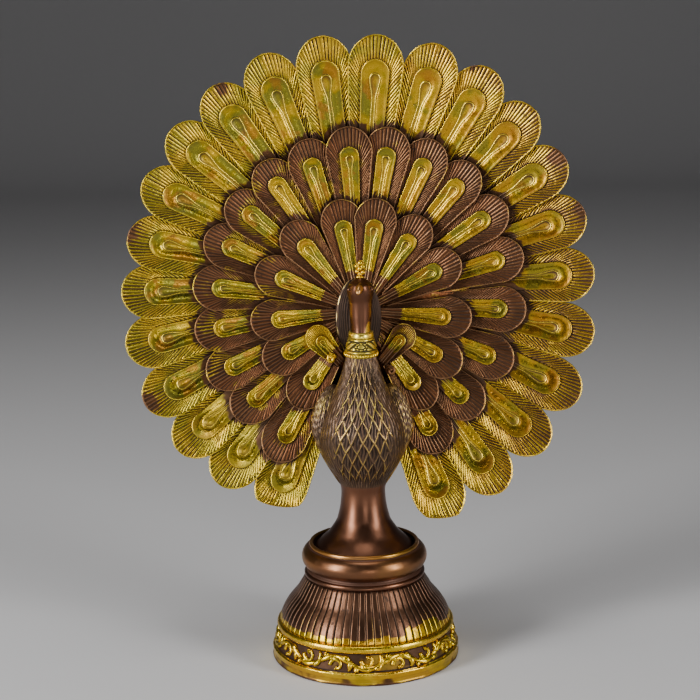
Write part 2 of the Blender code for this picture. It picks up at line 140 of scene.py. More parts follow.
agedColours = {
    "Gold": (0.61, 0.375, 0.016), "Olive": (0.33, 0.250, 0.016), "Amber": (0.55, 0.235, 0.022),
    "Verdigris": (0.15, 0.19, 0.040), "Flame": (0.45, 0.18, 0.020), "RubbedAndLit": (0.36, 0.21, 0.12),
    "Patina": (0.16, 0.066, 0.024), "Umber": (0.014, 0.008, 0.005), "Bright": (0.98, 0.72, 0.065),
}
agedMarks = {"Gilt": 1.0, "Groove": 0.0, "Ridge": 0.0, "Eye": 0.0, "Warmth": 0.5}
agedValues = {"Cloud Scale": 30.0, "Grain Scale": 900.0, "Wear": 0.3, "Dirt": 0.6, "Gilt Roughness": 0.34,
              "Patina Roughness": 0.38}
# Each pair is the value where an effect starts and the value where it is full
agedMix = {
    "grooveLoss": 0.55, "ridgeGain": 0.25, "mask": (0.32, 0.62), "warmSpread": 0.7, "eyeCooler": 0.16,
    "gold": (0.15, 0.75), "amber": (0.75, 1.25), "amberMost": 0.55, "green": (0.35, 0.0), "greenMost": 0.40,
    "flame": (0.70, 1.0), "flameMost": 0.7, "brightMost": 0.75, "umberMost": 0.40, "rubbedAndLitMost": 0.60,
    "grooveDirtAndShade": 0.95, "grainMiddle": 0.4, "grainRoughness": 0.2, "dirtAndShadeRoughness": 0.25,
    "dirtAndShadeDullness": 0.5, "swellHeight": 2.2, "speckDepth": 0.5, "grainHeight": 0.7,
}


def agedGildingGroup(skin):
    # Worn gilding over patina: attributes say where gold lies, where it is rubbed bright, where a highlight
    # is painted, and where dirt, patina in hollows and painted shade darken it
    mix = agedMix
    colours = [(name, "NodeSocketColor", (*value, 1)) for name, value in agedColours.items()]
    results = floatSockets(dict.fromkeys(("Roughness", "Metal", "Height")))
    bench, given, out = newGroup("aged gilding", "ShaderNodeTree",
                                 colours + floatSockets(agedMarks) + floatSockets(agedValues),
                                 [("Color", "NodeSocketColor", None)] + results)
    surface = bench.add("ShaderNodeGroup", node_tree=skin)
    bench.plug(surface.inputs["Cloud Scale"], given["Cloud Scale"])
    bench.plug(surface.inputs["Grain Scale"], given["Grain Scale"])
    cloud, second, grain, speck, swell = surface.outputs
    rubbed = bench.times(bench.minus(cloud, 0.5), given["Wear"])
    worn = bench.minus(bench.plus(given["Gilt"], rubbed), bench.times(given["Groove"], mix["grooveLoss"]))
    lifted = bench.plus(worn, bench.times(given["Ridge"], mix["ridgeGain"]))
    mask = bench.clamp(lifted, *mix["mask"])
    warm = bench.plus(given["Warmth"], bench.times(bench.minus(second, 0.5), mix["warmSpread"]))
    warm = bench.minus(warm, bench.times(given["Eye"], mix["eyeCooler"]))
    gold = bench.blend(bench.clamp(warm, *mix["gold"]), given["Olive"], given["Gold"])
    gold = bench.blend(bench.times(bench.clamp(warm, *mix["amber"]), mix["amberMost"]), gold, given["Amber"])
    green = bench.times(given["Eye"], bench.times(bench.clamp(second, *mix["green"]), mix["greenMost"]))
    gold = bench.blend(green, gold, given["Verdigris"])
    flame = bench.times(given["Eye"], bench.times(bench.clamp(cloud, *mix["flame"]), mix["flameMost"]))
    gold = bench.blend(flame, gold, given["Flame"])
    # Ridges take the bright and rubbed colours: wear on raised parts and, on some pieces, a painted highlight
    gold = bench.blend(bench.times(given["Ridge"], mix["brightMost"]), gold, given["Bright"])
    patina = bench.blend(bench.times(second, mix["umberMost"]), given["Patina"], given["Umber"])
    patina = bench.blend(bench.times(given["Ridge"], mix["rubbedAndLitMost"]), patina, given["RubbedAndLit"])
    both = bench.blend(mask, patina, gold)
    # The darkening from grooves is dirt and patina in hollows and, on some pieces, painted shade; the specks
    # are dirt
    dirtAndShade = bench.calc("MAXIMUM", bench.times(given["Groove"], mix["grooveDirtAndShade"]),
                      bench.times(speck, given["Dirt"]))
    bench.plug(out["Color"], bench.blend(dirtAndShade, both, given["Umber"]))
    polish = bench.add("ShaderNodeMix", {"Factor": mask}, data_type="FLOAT")
    bench.plug(polish.inputs[2], given["Patina Roughness"])
    bench.plug(polish.inputs[3], given["Gilt Roughness"])
    uneven = bench.times(bench.minus(grain, mix["grainMiddle"]), mix["grainRoughness"])
    rough = bench.plus(bench.plus(polish.outputs[0], uneven), bench.times(dirtAndShade, mix["dirtAndShadeRoughness"]))
    bench.plug(out["Roughness"], rough)
    bench.plug(out["Metal"], bench.minus(1.0, bench.times(dirtAndShade, mix["dirtAndShadeDullness"])))
    low = bench.minus(bench.times(swell, mix["swellHeight"]), bench.times(speck, mix["speckDepth"]))
    bench.plug(out["Height"], bench.plus(bench.times(grain, mix["grainHeight"]), low))
    return bench.tree


castSkin = castSkinGroup()
agedGilding = agedGildingGroup(castSkin)


def bronzeFinish(name, bump, values):
    # One finish: the gilding group fed by the mesh's own attributes, with this piece's values
    made = bpy.data.materials.new(name)
    made.use_nodes = True
    bench = Bench(made.node_tree)
    shader = made.node_tree.nodes["Principled BSDF"]
    aged = bench.add("ShaderNodeGroup", node_tree=agedGilding)
    for key, value in values.items():
        aged.inputs[key].default_value = (*value, 1) if key in agedColours else value
    for mark in agedMarks:
        attribute = bench.add("ShaderNodeAttribute", attribute_name=mark.lower())
        bench.plug(aged.inputs[mark], attribute.outputs["Fac"])
    bench.plug(shader.inputs["Base Color"], aged.outputs["Color"])
    bench.plug(shader.inputs["Roughness"], aged.outputs["Roughness"])
    bench.plug(shader.inputs["Metallic"], aged.outputs["Metal"])
    relief = bench.add("ShaderNodeBump",
                       {"Height": aged.outputs["Height"], "Strength": bump, "Distance": 0.0002})
    bench.plug(shader.inputs["Normal"], relief.outputs["Normal"])
    return made


giltFeather = bronzeFinish("gilt feather", 0.45, {"Cloud Scale": 90.0, "Wear": 0.35, "Gilt Roughness": 0.24})
umberFeather = bronzeFinish("umber feather", 0.45, {
    "Patina": (0.130, 0.046, 0.018), "Bright": (0.90, 0.64, 0.045), "RubbedAndLit": (0.52, 0.29, 0.14),
    "Cloud Scale": 95.0, "Wear": 0.5, "Gilt Roughness": 0.24, "Patina Roughness": 0.34})
hairBronze = bronzeFinish("hair bronze", 0.40, {
    "Patina": (0.060, 0.036, 0.026), "Bright": (0.70, 0.52, 0.25), "RubbedAndLit": (0.17, 0.11, 0.075),
    "Cloud Scale": 95.0, "Wear": 0.3, "Patina Roughness": 0.52})
chasedBronze = bronzeFinish("chased bronze", 0.40, {
    "Patina": (0.140, 0.078, 0.048), "Gold": (0.48, 0.29, 0.070), "Bright": (0.78, 0.54, 0.20),
    "RubbedAndLit": (0.42, 0.30, 0.20), "Cloud Scale": 60.0, "Wear": 0.4, "Patina Roughness": 0.36})
flutedBronze = bronzeFinish("fluted bronze", 0.30, {
    "Patina": (0.165, 0.080, 0.046), "RubbedAndLit": (0.30, 0.16, 0.09), "Cloud Scale": 60.0, "Wear": 0.5,
    "Patina Roughness": 0.34, "Gilt Roughness": 0.28})
polishedBronze = bronzeFinish("polished bronze", 0.003, {
    "Patina": (0.19, 0.082, 0.046), "Gold": (0.46, 0.19, 0.040), "Amber": (0.66, 0.36, 0.17),
    "Umber": (0.07, 0.034, 0.022), "Cloud Scale": 26.0, "Grain Scale": 300.0, "Wear": 0.12, "Dirt": 0.12,
    "Patina Roughness": 0.31, "Gilt Roughness": 0.31})
giltCollar = bronzeFinish("gilt collar", 0.30, {
    "Gold": (1.0, 0.76, 0.085), "Bright": (1.0, 0.86, 0.20), "Cloud Scale": 70.0, "Wear": 0.4,
    "Gilt Roughness": 0.30})
giltTrim = bronzeFinish("gilt trim", 0.40, {
    "Gold": (0.78, 0.50, 0.020), "Cloud Scale": 70.0, "Wear": 0.5, "Gilt Roughness": 0.26})
print("finishes ready")


# Mesh tools

def linkObject(name, data):
    made = bpy.data.objects.new(name, data)
    bpy.context.scene.collection.objects.link(made)
    return made


def makeMesh(name, points, faces, attributes):
    mesh = bpy.data.meshes.new(name)
    mesh.from_pydata(np.asarray(points, float).tolist(), [], faces)
    for key, values in attributes.items():
        layer = mesh.attributes.new(key, "FLOAT", "POINT")
        layer.data.foreach_set("value", np.asarray(values, np.float32))
    form = bmesh.new()
    form.from_mesh(mesh)
    bmesh.ops.remove_doubles(form, verts=form.verts, dist=0.000001)
    bmesh.ops.recalc_face_normals(form, faces=form.faces)
    form.to_mesh(mesh)
    form.free()
    mesh.shade_smooth()
    return linkObject(name, mesh)


def gridFaces(rows, columns, wrap=True, first=0):
    faces = []
    last = columns if wrap else columns - 1
    for i in range(rows - 1):
        for k in range(last):
            a = first + i * columns + k
            b = first + i * columns + (k + 1) % columns
            faces.append((a, b, b + columns, a + columns))
    return faces


def tubeFaces(rows, columns):
    # The faces of a closed tube: its wall, then a cap at each end
    last = (rows - 1) * columns
    return gridFaces(rows, columns) + [tuple(range(columns)), tuple(range(last, last + columns))]


def settle(made, node, finish=None):
    # Gives a finished piece its finish, if one is given, and its body, hides the CAD part of its node and
    # prints its triangle count
    if finish:
        made.data.materials.clear()
        made.data.materials.append(finish)
    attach(made, "root")
    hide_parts(node)
    made.data.calc_loop_triangles()
    print(f"{made.name}: {len(made.data.loop_triangles)} triangles")


def bakeNodes(made, tree, values):
    # Runs a Geometry Nodes tree on an object and keeps the result as its plain mesh
    modifier = made.modifiers.new(tree.name, "NODES")
    modifier.node_group = tree
    sockets = {s.name: s.identifier for s in tree.interface.items_tree if s.in_out == "INPUT"}
    for key, value in values.items():
        modifier[sockets[key]] = value
    bpy.context.view_layer.update()
    graph = bpy.context.evaluated_depsgraph_get()
    mesh = bpy.data.meshes.new_from_object(made.evaluated_get(graph), preserve_all_data_layers=True,
                                           depsgraph=graph)
    made.modifiers.clear()
    made.data = mesh
    mesh.shade_smooth()


def readAttribute(mesh, name):
    values = np.zeros(len(mesh.vertices), np.float32)
    mesh.attributes[name].data.foreach_get("value", values)
    return values


def writeAttribute(mesh, name, values):
    if name not in mesh.attributes:
        mesh.attributes.new(name, "FLOAT", "POINT")
    mesh.attributes[name].data.foreach_set("value", np.asarray(values, np.float32))


def plainAttributes(count, gilt=0.0, ridge=0.0, groove=0.0, warmth=0.5):
    return {"gilt": np.full(count, gilt), "ridge": np.full(count, ridge), "groove": np.full(count, groove),
            "eye": np.zeros(count), "warmth": np.full(count, warmth)}


def readPoints(mesh):
    points = np.zeros(len(mesh.vertices) * 3, np.float32)
    mesh.vertices.foreach_get("co", points)
    return points.reshape(-1, 3)


def ballMesh(name, radius, squash=(1, 1, 1), segments=10, gilt=1.0, ridge=0.35, warmth=0.75):
    form = bmesh.new()
    bmesh.ops.create_uvsphere(form, u_segments=segments, v_segments=segments // 2 + 2, radius=radius,
                              matrix=Matrix.Diagonal((*squash, 1)))
    mesh = bpy.data.meshes.new(name)
    form.to_mesh(mesh)
    form.free()
    for key, values in plainAttributes(len(mesh.vertices), gilt=gilt, ridge=ridge, warmth=warmth).items():
        writeAttribute(mesh, key, values)
    return linkObject(name, mesh)


def joinPieces(name, pieces):
    # Joins finished meshes into one object
    form = bmesh.new()
    for piece in pieces:
        form.from_mesh(piece.data)
        bpy.data.objects.remove(piece)
    mesh = bpy.data.meshes.new(name)
    form.to_mesh(mesh)
    form.free()
    mesh.shade_smooth()
    return linkObject(name, mesh)


def ringAttributes(warmth, **rings):
    # Joins attributes that were gathered ring by ring; those that aren't given are plain
    joined = {key: np.concatenate(values) for key, values in rings.items()}
    attributes = plainAttributes(len(joined["groove"]), warmth=warmth)
    attributes.update(joined)
    return attributes


def levelRing(x, y, height):
    return np.column_stack([x, y, np.full_like(x, height)])


def placePoints(points, place):
    place = np.array(place)
    return points @ place[:3, :3].T + place[:3, 3]


def smoothStep(values, low, high):
    t = np.clip((values - low) / (high - low), 0, 1)
    return t * t * (3 - 2 * t)


# Feathers. A feather is drawn flat, pointing up from the hub: concentric outlines, each a curve from
# the left root over the tip to the right root, carry the rim, the cut barbs, the raised eye and its
# hairpin line.

fan = {
    "hubHeight": birdLow.z + 0.1205,
    "hubBehind": 0.0140,
    "radius": 0.1145,
    "dishDepth": 0.0150,
    "fullRollFrom": 12.0,
    "topLift": 0.0009,
    "wobble": 0.00030,
    "wobbleScale": 380.0,
    "eyeSwell": 0.16,
}

featherCut = {
    "rimWidth": 0.00050,
    "rimRise": 0.00030,
    "edgeDrop": 0.00035,
    "barbDepth": 0.00066,
    "slant": 1.05,
    "borderWidth": 0.00040,
    "eyeRise": 0.00090,
    "eyeEdge": 0.00034,
    "panelDip": 0.00026,
    "hairpinLine": 0.00036,
    "hairpinGroove": 0.00026,
    "capShare": 0.55,
    "rootRun": 0.02,
    "panelBevel": 0.00038,
    "barbWear": 0.35,
    "backGilt": 0.75,
}

# Each feather's angle in degrees from straight up and its reach, a share of its row's tip
outerSpread = [
    (-157.5, 1.036), (-143.6, 1.028), (-130.8, 1.032), (-117.4, 1.028), (-103.4, 1.009), (-89.7, 0.993),
    (-76.0, 0.987), (-61.9, 1.001), (-48.5, 1.018), (-35.3, 1.032), (-22.0, 1.046), (-8.2, 1.052),
    (4.9, 1.048), (18.7, 1.056), (31.4, 1.052), (44.2, 1.029), (57.7, 1.003), (71.9, 0.983),
    (87.0, 0.976), (102.4, 0.998), (117.4, 1.031), (131.8, 1.040), (146.1, 1.056), (160.0, 1.064),
]
middleSpread = [
    (-149.8, 1.080), (-131.4, 1.010), (-115.4, 1.008), (-98.9, 0.990), (-82.2, 0.989), (-64.8, 0.992),
    (-49.1, 0.992), (-33.4, 1.014), (-17.8, 1.020), (-3.2, 1.044), (10.6, 1.052), (24.9, 1.054),
    (39.6, 1.052), (55.6, 1.032), (72.8, 1.000), (92.9, 0.978), (113.2, 0.977), (133.6, 0.975),
    (152.0, 1.020),
]
innerSpread = [
    (-144.4, 1.060), (-118.8, 1.000), (-94.6, 0.992), (-65.6, 1.015), (-38.6, 1.026), (-10.2, 1.029),
    (10.0, 1.035), (34.6, 1.020), (62.0, 1.011), (94.6, 1.005), (121.2, 1.050), (144.6, 1.090),
]

outerRow = {
    "spread": outerSpread, "tip": 1.0, "root": 0.437, "startAt": 0.530, "rise": 0.066, "width": 0.230,
    "rootWidth": 0.133, "belly": 1.06, "eyeWidth": 0.116, "eyeTaper": 0.62, "eyeFromTip": 0.094,
    "lift": 0.0157, "tipLift": 0.0052, "roll": 5.5, "sideBarbs": 18, "tipBarbs": 22,
    "back": -0.0122, "edge": 0.0026, "loopRadius": 0.0023, "loopFromEye": 0.0066, "neckFromEye": 0.0180,
    "stemHalf": 0.0007, "barbGilt": 1.0, "rimGilt": 1.0, "fringe": 0.0,
}

middleRow = {
    "spread": middleSpread, "tip": 0.712, "root": 0.297, "startAt": 0.330, "rise": 0.0, "width": 0.197,
    "rootWidth": 0.103, "belly": 1.0, "eyeWidth": 0.080, "eyeTaper": 0.46, "eyeFromTip": 0.080,
    "lift": 0.0402, "tipLift": 0.0105, "roll": 6.5, "sideBarbs": 20, "tipBarbs": 18,
    "back": -0.0087, "edge": 0.0240, "loopRadius": 0.0016, "loopFromEye": 0.0042, "neckFromEye": 0.0115,
    "stemHalf": 0.0006, "barbGilt": 0.06, "rimGilt": 0.12, "fringe": 0.40,
}

innerRow = {
    "spread": innerSpread, "tip": 0.467, "root": 0.105, "startAt": 0.105, "rise": -0.031, "width": 0.179,
    "rootWidth": 0.070, "belly": 1.0, "eyeWidth": 0.075, "eyeTaper": 0.16, "eyeFromTip": 0.087,
    "lift": 0.0681, "tipLift": 0.0140, "roll": 6.0, "sideBarbs": 22, "tipBarbs": 16,
    "back": -0.0052, "edge": 0.0480, "loopRadius": 0.0015, "loopFromEye": 0.0040, "neckFromEye": 0.0110,
    "stemHalf": 0.0005, "barbGilt": 0.03, "rimGilt": 0.10, "fringe": 0.18,
}


def petalHalf(root, tip, cap, rootHalf, half, belly):
    # Right half of a petal's outline as (half width, height), from its root to its tip
    widest = tip - cap
    t = np.linspace(0, 1, 40)[:-1]
    middle = belly * (rootHalf + half) / 2
    side = rootHalf * (2 * t - 1) * (t - 1) + middle * 4 * t * (1 - t) + half * t * (2 * t - 1)
    turn = np.linspace(0, math.pi / 2, 60)
    straight = np.column_stack([side, root + (widest - root) * t])
    return np.vstack([straight, np.column_stack([half * np.cos(turn), widest + cap * np.sin(turn)])])


def hairpinHalf(root, tip, radius, stem, neck):
    # The incised hairpin: two close lines that open into a loop near the eye's tip
    centre = tip - radius
    t = np.linspace(0, 1, 30)[:-1]
    opening = stem + (radius - stem) * t * t * (3 - 2 * t)
    turn = np.linspace(0, math.pi / 2, 30)
    lines = np.array([[stem * 1.5, root], [stem, neck]])
    return np.vstack([lines[:1], np.column_stack([opening, neck + (centre - neck) * t]),
                      np.column_stack([radius * np.cos(turn), centre + radius * np.sin(turn)])])


def drawRing(half, start, split, sideSteps, topSteps):
    # Spaces points along the whole curve: evenly up a side to the split, then evenly over the tip
    z = np.linspace(start, split, sideSteps + 1)
    side = np.column_stack([np.interp(z, half[:, 1], half[:, 0]), z])
    above = half[half[:, 1] > split]
    top = np.vstack([side[-1:], above])
    length = np.concatenate([[0], np.cumsum(np.hypot(*np.diff(top, axis=0).T))])
    even = np.linspace(0, length[-1], topSteps // 2 + 1)
    over = np.column_stack([np.interp(even, length, top[:, 0]), np.interp(even, length, top[:, 1])])
    right = np.vstack([side[:-1], over])
    left = right * (-1, 1)
    return np.vstack([left, right[-2::-1]])


def inset(ring, distance):
    # Moves a ring towards the inside of its own curve
    along = np.gradient(ring, axis=0)
    along /= np.maximum(np.hypot(along[:, 0], along[:, 1]), 1e-9)[:, None]
    return ring + distance * np.column_stack([along[:, 1], -along[:, 0]])


def featherMesh(name, row, seed):
    cut, size = featherCut, fan["radius"]
    tip, root, start = size * row["tip"], size * row["root"], size * row["startAt"]
    half, rootHalf = size * row["width"] / 2, size * row["rootWidth"] / 2
    eyeHalf, eyeTip = size * row["eyeWidth"] / 2, tip - size * row["eyeFromTip"]
    cap = cut["capShare"] * 2 * half
    widest = tip - cap
    gap = half - eyeHalf
    outline = petalHalf(root, tip, cap, rootHalf, half, row["belly"])
    below = root - cut["rootRun"]
    eye = petalHalf(below, eyeTip, eyeHalf, row["eyeTaper"] * eyeHalf, eyeHalf, 1.0)
    loopTip = eyeTip - row["loopFromEye"]
    loopCentre = loopTip - row["loopRadius"]
    hairpin = hairpinHalf(below, loopTip, row["loopRadius"], row["stemHalf"], eyeTip - row["neckFromEye"])
    slip = cut["slant"] * gap
    eyeSplit = min(widest - slip, eyeTip - eyeHalf)
    loopSplit = min(eyeSplit, loopCentre)
    sides, tips = row["sideBarbs"], row["tipBarbs"]

    def fine(curve, begin, split):
        return drawRing(curve, begin, split, 3 * sides, 3 * tips)

    def coarse(curve, begin, split):
        return drawRing(curve, begin, split, sides, tips)

    outerFine, eyeFine = fine(outline, start, widest), fine(eye, start - slip, eyeSplit)
    outerCoarse = coarse(outline, start, widest)
    eyeCoarse = coarse(eye, start - slip, eyeSplit)
    loopCoarse = coarse(hairpin, start - slip, loopSplit)
    spine = coarse(np.array([[0.0, below], [0.0, loopCentre]]), start - slip, loopSplit - 0.001)
    backSpine = coarse(np.array([[0.0, below], [0.0, widest]]), start, widest - 0.004)

    bandTop, bandFoot = inset(outerFine, cut["rimWidth"] * 2.0), inset(eyeFine, -cut["borderWidth"])
    # Each fine ring: points, height, how much of the barbs' cut it carries, groove, ridge, gilt
    fringe = row["barbGilt"] + row["fringe"]
    fineRings = [
        (outerFine, -cut["edgeDrop"], 0.0, 0.55, 0.0, row["rimGilt"]),
        (inset(outerFine, cut["rimWidth"] * 0.40), cut["rimRise"], 0.0, 0.0, 0.75, row["rimGilt"]),
        (inset(outerFine, cut["rimWidth"]), cut["rimRise"] * 0.7, 0.0, 0.0, 0.6, row["rimGilt"]),
        (inset(outerFine, cut["rimWidth"] * 1.4), -0.00012, 0.25, 0.35, 0.2, row["barbGilt"]),
        (bandTop, 0.0, 1.0, 0.0, 0.4, row["barbGilt"]),
        (0.65 * bandTop + 0.35 * bandFoot, 0.00010, 1.0, 0.0, 0.5, row["barbGilt"]),
        (0.32 * bandTop + 0.68 * bandFoot, 0.00005, 1.0, 0.0, 0.5, 0.5 * (row["barbGilt"] + fringe)),
        (bandFoot, -0.00010, 0.8, 0.2, 0.4, fringe),
        # The dark ring just outside the eye's border is partly patina in its groove and partly painted shadow
        (inset(eyeFine, -0.00010), -0.00030, 0.2, 1.0, 0.0, fringe),
    ]
    line, channel, rise = cut["hairpinLine"], cut["hairpinGroove"], cut["eyeRise"]
    edge, dip = cut["eyeEdge"], cut["panelDip"]
    panel = inset(eyeCoarse, edge + cut["panelBevel"])
    loopOut = inset(loopCoarse, -line * 2.0)
    loopIn = inset(loopCoarse, min(line, row["stemHalf"]) * 0.75)
    # Each coarse ring: points, height, groove, ridge, gilt, whether it belongs to the eye's panel
    coarseRings = [
        (inset(eyeCoarse, 0.00004), rise * 0.75, 0.0, 0.55, 1.0, 0.0),
        (inset(eyeCoarse, edge), rise, 0.0, 0.55, 1.0, 0.0),
        (panel, rise - dip, 0.35, 0.0, 1.0, 1.0),
        (0.5 * panel + 0.5 * loopOut, rise - 0.8 * dip, 0.0, 0.0, 1.0, 1.0),
        (loopOut, rise - 0.9 * dip, 0.05, 0.0, 1.0, 1.0),
        (inset(loopCoarse, -line * 1.05), rise - dip - channel, 1.0, 0.0, 1.0, 0.6),
        (inset(loopCoarse, -line * 0.5), rise, 0.0, 1.0, 1.0, 0.0),
        (loopCoarse, rise, 0.0, 1.0, 1.0, 0.0),
        (loopIn, rise - dip - 0.1 * channel, 0.8, 0.0, 1.0, 0.6),
        (spine, rise - dip, 0.0, 0.1, 1.0, 1.0),
    ]
    backHeight, edgeHeight = size * row["back"], size * row["edge"]
    # Each ring of the back: points, height, groove
    backRings = [
        (inset(outerCoarse, 0.00010), edgeHeight, 0.5),
        (inset(outerCoarse, 0.00110), 0.4 * edgeHeight + 0.6 * backHeight, 0.2),
        (0.5 * inset(outerCoarse, 0.0011) + 0.5 * backSpine, backHeight, 0.0),
        (0.12 * outerCoarse + 0.88 * backSpine, backHeight, 0.3),
        (backSpine, backHeight - 0.00045, 0.0),
    ]

    random = np.random.default_rng(seed)
    fineCount, coarseCount = len(outerFine), len(outerCoarse)
    column = np.arange(fineCount)
    cutHere = (column % 3 == 0) * (1 + 0.30 * random.standard_normal(fineCount)).clip(0.35, 1.6)
    crestHere = (column % 3 == 1) * random.uniform(0.40, 1.0, fineCount) + (column % 3 == 2) * 0.12
    points, marks = [], {"groove": [], "ridge": [], "gilt": [], "eye": []}

    def faceHeight(z):
        share = (z - root) / (tip - root)
        return size * (row["lift"] + row["tipLift"] * share * share)

    def addRing(ring, depth, *values):
        # The values are the ring's groove, ridge, gilt and eye
        whole = np.zeros(len(ring))
        points.append(np.column_stack([ring[:, 0], whole - depth, ring[:, 1]]))
        for key, value in zip(marks, values):
            marks[key].append(whole + value)

    for ring, height, carried, dirtAndShade, wear, gold in fineRings:
        depth = faceHeight(ring[:, 1]) + height - cut["barbDepth"] * carried * cutHere
        addRing(ring, depth, np.clip(dirtAndShade + carried * cutHere, 0, 1), wear * crestHere if carried else wear,
                gold * (1 - cut["barbWear"] * carried * cutHere), 0.0)
    for ring, height, dirtAndShade, wear, gold, panelHere in coarseRings:
        addRing(ring, faceHeight(ring[:, 1]) + height, dirtAndShade, wear, gold, panelHere)
    for ring, height, dirtAndShade in backRings:
        addRing(ring, height, dirtAndShade, 0.0, row["barbGilt"] * cut["backGilt"], 0.0)

    starts = np.concatenate([[0], np.cumsum([len(p) for p in points])])
    faces = gridFaces(len(fineRings), fineCount, wrap=False)
    firstCoarse, firstBack = starts[len(fineRings)], starts[len(fineRings) + len(coarseRings)]
    faces += gridFaces(len(coarseRings), coarseCount, wrap=False, first=firstCoarse)
    faces += gridFaces(len(backRings), coarseCount, wrap=False, first=firstBack)
    innerFine = starts[len(fineRings) - 1]
    for k in range(coarseCount - 1):
        faces.append((innerFine + 3 * k, innerFine + 3 * k + 1, innerFine + 3 * k + 2, innerFine + 3 * k + 3,
                      firstCoarse + k + 1, firstCoarse + k))
        faces.append((3 * k + 3, 3 * k + 2, 3 * k + 1, 3 * k, firstBack + k, firstBack + k + 1))
    # The root is closed by one face round the ends of all rings
    rows = len(fineRings) + len(coarseRings)
    left, right = list(starts[:-1]), list(starts[1:] - 1)
    faces.append(tuple(left[:rows] + right[:rows][-2::-1] + right[rows:] + left[rows:][-2::-1]))
    faces = [tuple(int(v) for v in face) for face in faces]
    attributes = {key: np.concatenate(values) for key, values in marks.items()}
    return makeMesh(name, np.vstack(points), faces, attributes)


def spreadTree():
    # Sets a copy of a feather on each of the marks, rolls and swings it by its angle, stretches it to
    # its reach, and bends it on to the dish
    floats = dict.fromkeys(("Roll", "Full Roll From", "Dish Depth", "Fan Radius", "Hub Behind", "Hub Height",
                            "Wobble", "Wobble Scale"), 0.0)
    inputs = [("Feather", "NodeSocketGeometry", None), ("Marks", "NodeSocketObject", None)]
    inputs += floatSockets(floats) + [("Seed", "NodeSocketInt", 1), ("Finish", "NodeSocketMaterial", None)]
    bench, given, out = newGroup("spread feathers", "GeometryNodeTree", inputs,
                                 [("Fan", "NodeSocketGeometry", None)])
    marks = bench.add("GeometryNodeObjectInfo", {"Object": given["Marks"]})
    shade = bench.add("FunctionNodeRandomValue", {"Seed": given["Seed"]}, data_type="FLOAT")
    store = bench.add("GeometryNodeStoreNamedAttribute",
                      {"Geometry": marks.outputs["Geometry"], "Name": "tone", "Value": shade.outputs[1]},
                      data_type="FLOAT", domain="POINT")
    copies = bench.add("GeometryNodeInstanceOnPoints",
                       {"Points": store.outputs[0], "Instance": given["Feather"]})
    real = bench.add("GeometryNodeRealizeInstances", {"Geometry": copies.outputs[0]})

    def named(key):
        return bench.add("GeometryNodeInputNamedAttribute", {"Name": key}, data_type="FLOAT").outputs[0]

    position = bench.add("GeometryNodeInputPosition").outputs[0]
    split = bench.add("ShaderNodeSeparateXYZ", {0: position})
    along = bench.times(split.outputs[2], named("reach"))
    share = bench.calc("DIVIDE", along, given["Fan Radius"])
    back = bench.minus(given["Hub Behind"], bench.times(given["Dish Depth"], bench.times(share, share)))
    depth = bench.minus(bench.plus(split.outputs[1], back), named("standOut"))
    bent = bench.add("ShaderNodeCombineXYZ", {0: split.outputs[0], 1: depth, 2: along}).outputs[0]
    lean = bench.calc("DIVIDE", bench.times(named("angle"), -1.0), given["Full Roll From"])
    lean = bench.calc("MAXIMUM", bench.calc("MINIMUM", lean, 1.0), -1.0)

    def turned(vector, degrees, axis):
        return bench.add("ShaderNodeVectorRotate", {"Vector": vector, "Axis": axis,
                                                    "Angle": bench.calc("RADIANS", degrees)}).outputs[0]

    rolled = turned(bent, bench.times(given["Roll"], lean), (0, 0, 1))
    placed = turned(rolled, named("angle"), (0, 1, 0))
    hub = bench.add("ShaderNodeCombineXYZ", {2: given["Hub Height"]}).outputs[0]

    def vectors(operation, first, key, second):
        plugs = {0: first, key: second}
        return bench.add("ShaderNodeVectorMath", plugs, operation=operation).outputs[0]

    raised = vectors("ADD", placed, 1, hub)
    noise = bench.add("ShaderNodeTexNoise", {"Vector": raised, "Scale": given["Wobble Scale"], "Detail": 1.0})
    centred = vectors("SUBTRACT", noise.outputs["Color"], 1, (0.5, 0.5, 0.5))
    shaken = vectors("SCALE", centred, "Scale", given["Wobble"])
    final = vectors("ADD", raised, 1, shaken)
    moved = bench.add("GeometryNodeSetPosition", {"Geometry": real.outputs[0], "Position": final})
    finish = bench.add("GeometryNodeSetMaterial", {"Geometry": moved.outputs[0], "Material": given["Finish"]})
    bench.plug(out["Fan"], finish.outputs[0])
    return bench.tree


featherSpread = spreadTree()


def featherMarks(spread):
    # One point at the origin for each feather, with its angle, reach and number
    mesh = bpy.data.meshes.new("feather marks")
    mesh.from_pydata([(0.0, 0.0, 0.0)] * len(spread), [], [])
    writeAttribute(mesh, "angle", [angle for angle, reach in spread])
    writeAttribute(mesh, "reach", [reach for angle, reach in spread])
    writeAttribute(mesh, "number", list(range(len(spread))))
    nearestTop = min(range(len(spread)), key=lambda i: abs(spread[i][0] - 2.0))
    writeAttribute(mesh, "standOut", [fan["topLift"] if i == nearestTop else 0.0 for i in range(len(spread))])
    return linkObject("feather marks", mesh)


def featherRow(name, row, finish, seed):
    made = featherMesh(name, row, seed)
    marks = featherMarks(row["spread"])
    bakeNodes(made, featherSpread, {
        "Marks": marks, "Roll": row["roll"], "Full Roll From": fan["fullRollFrom"],
        "Dish Depth": fan["dishDepth"], "Fan Radius": fan["radius"], "Hub Behind": fan["hubBehind"],
        "Hub Height": fan["hubHeight"] + fan["radius"] * row["rise"], "Wobble": fan["wobble"],
        "Wobble Scale": fan["wobbleScale"], "Seed": seed, "Finish": finish})
    bpy.data.objects.remove(marks)
    return made


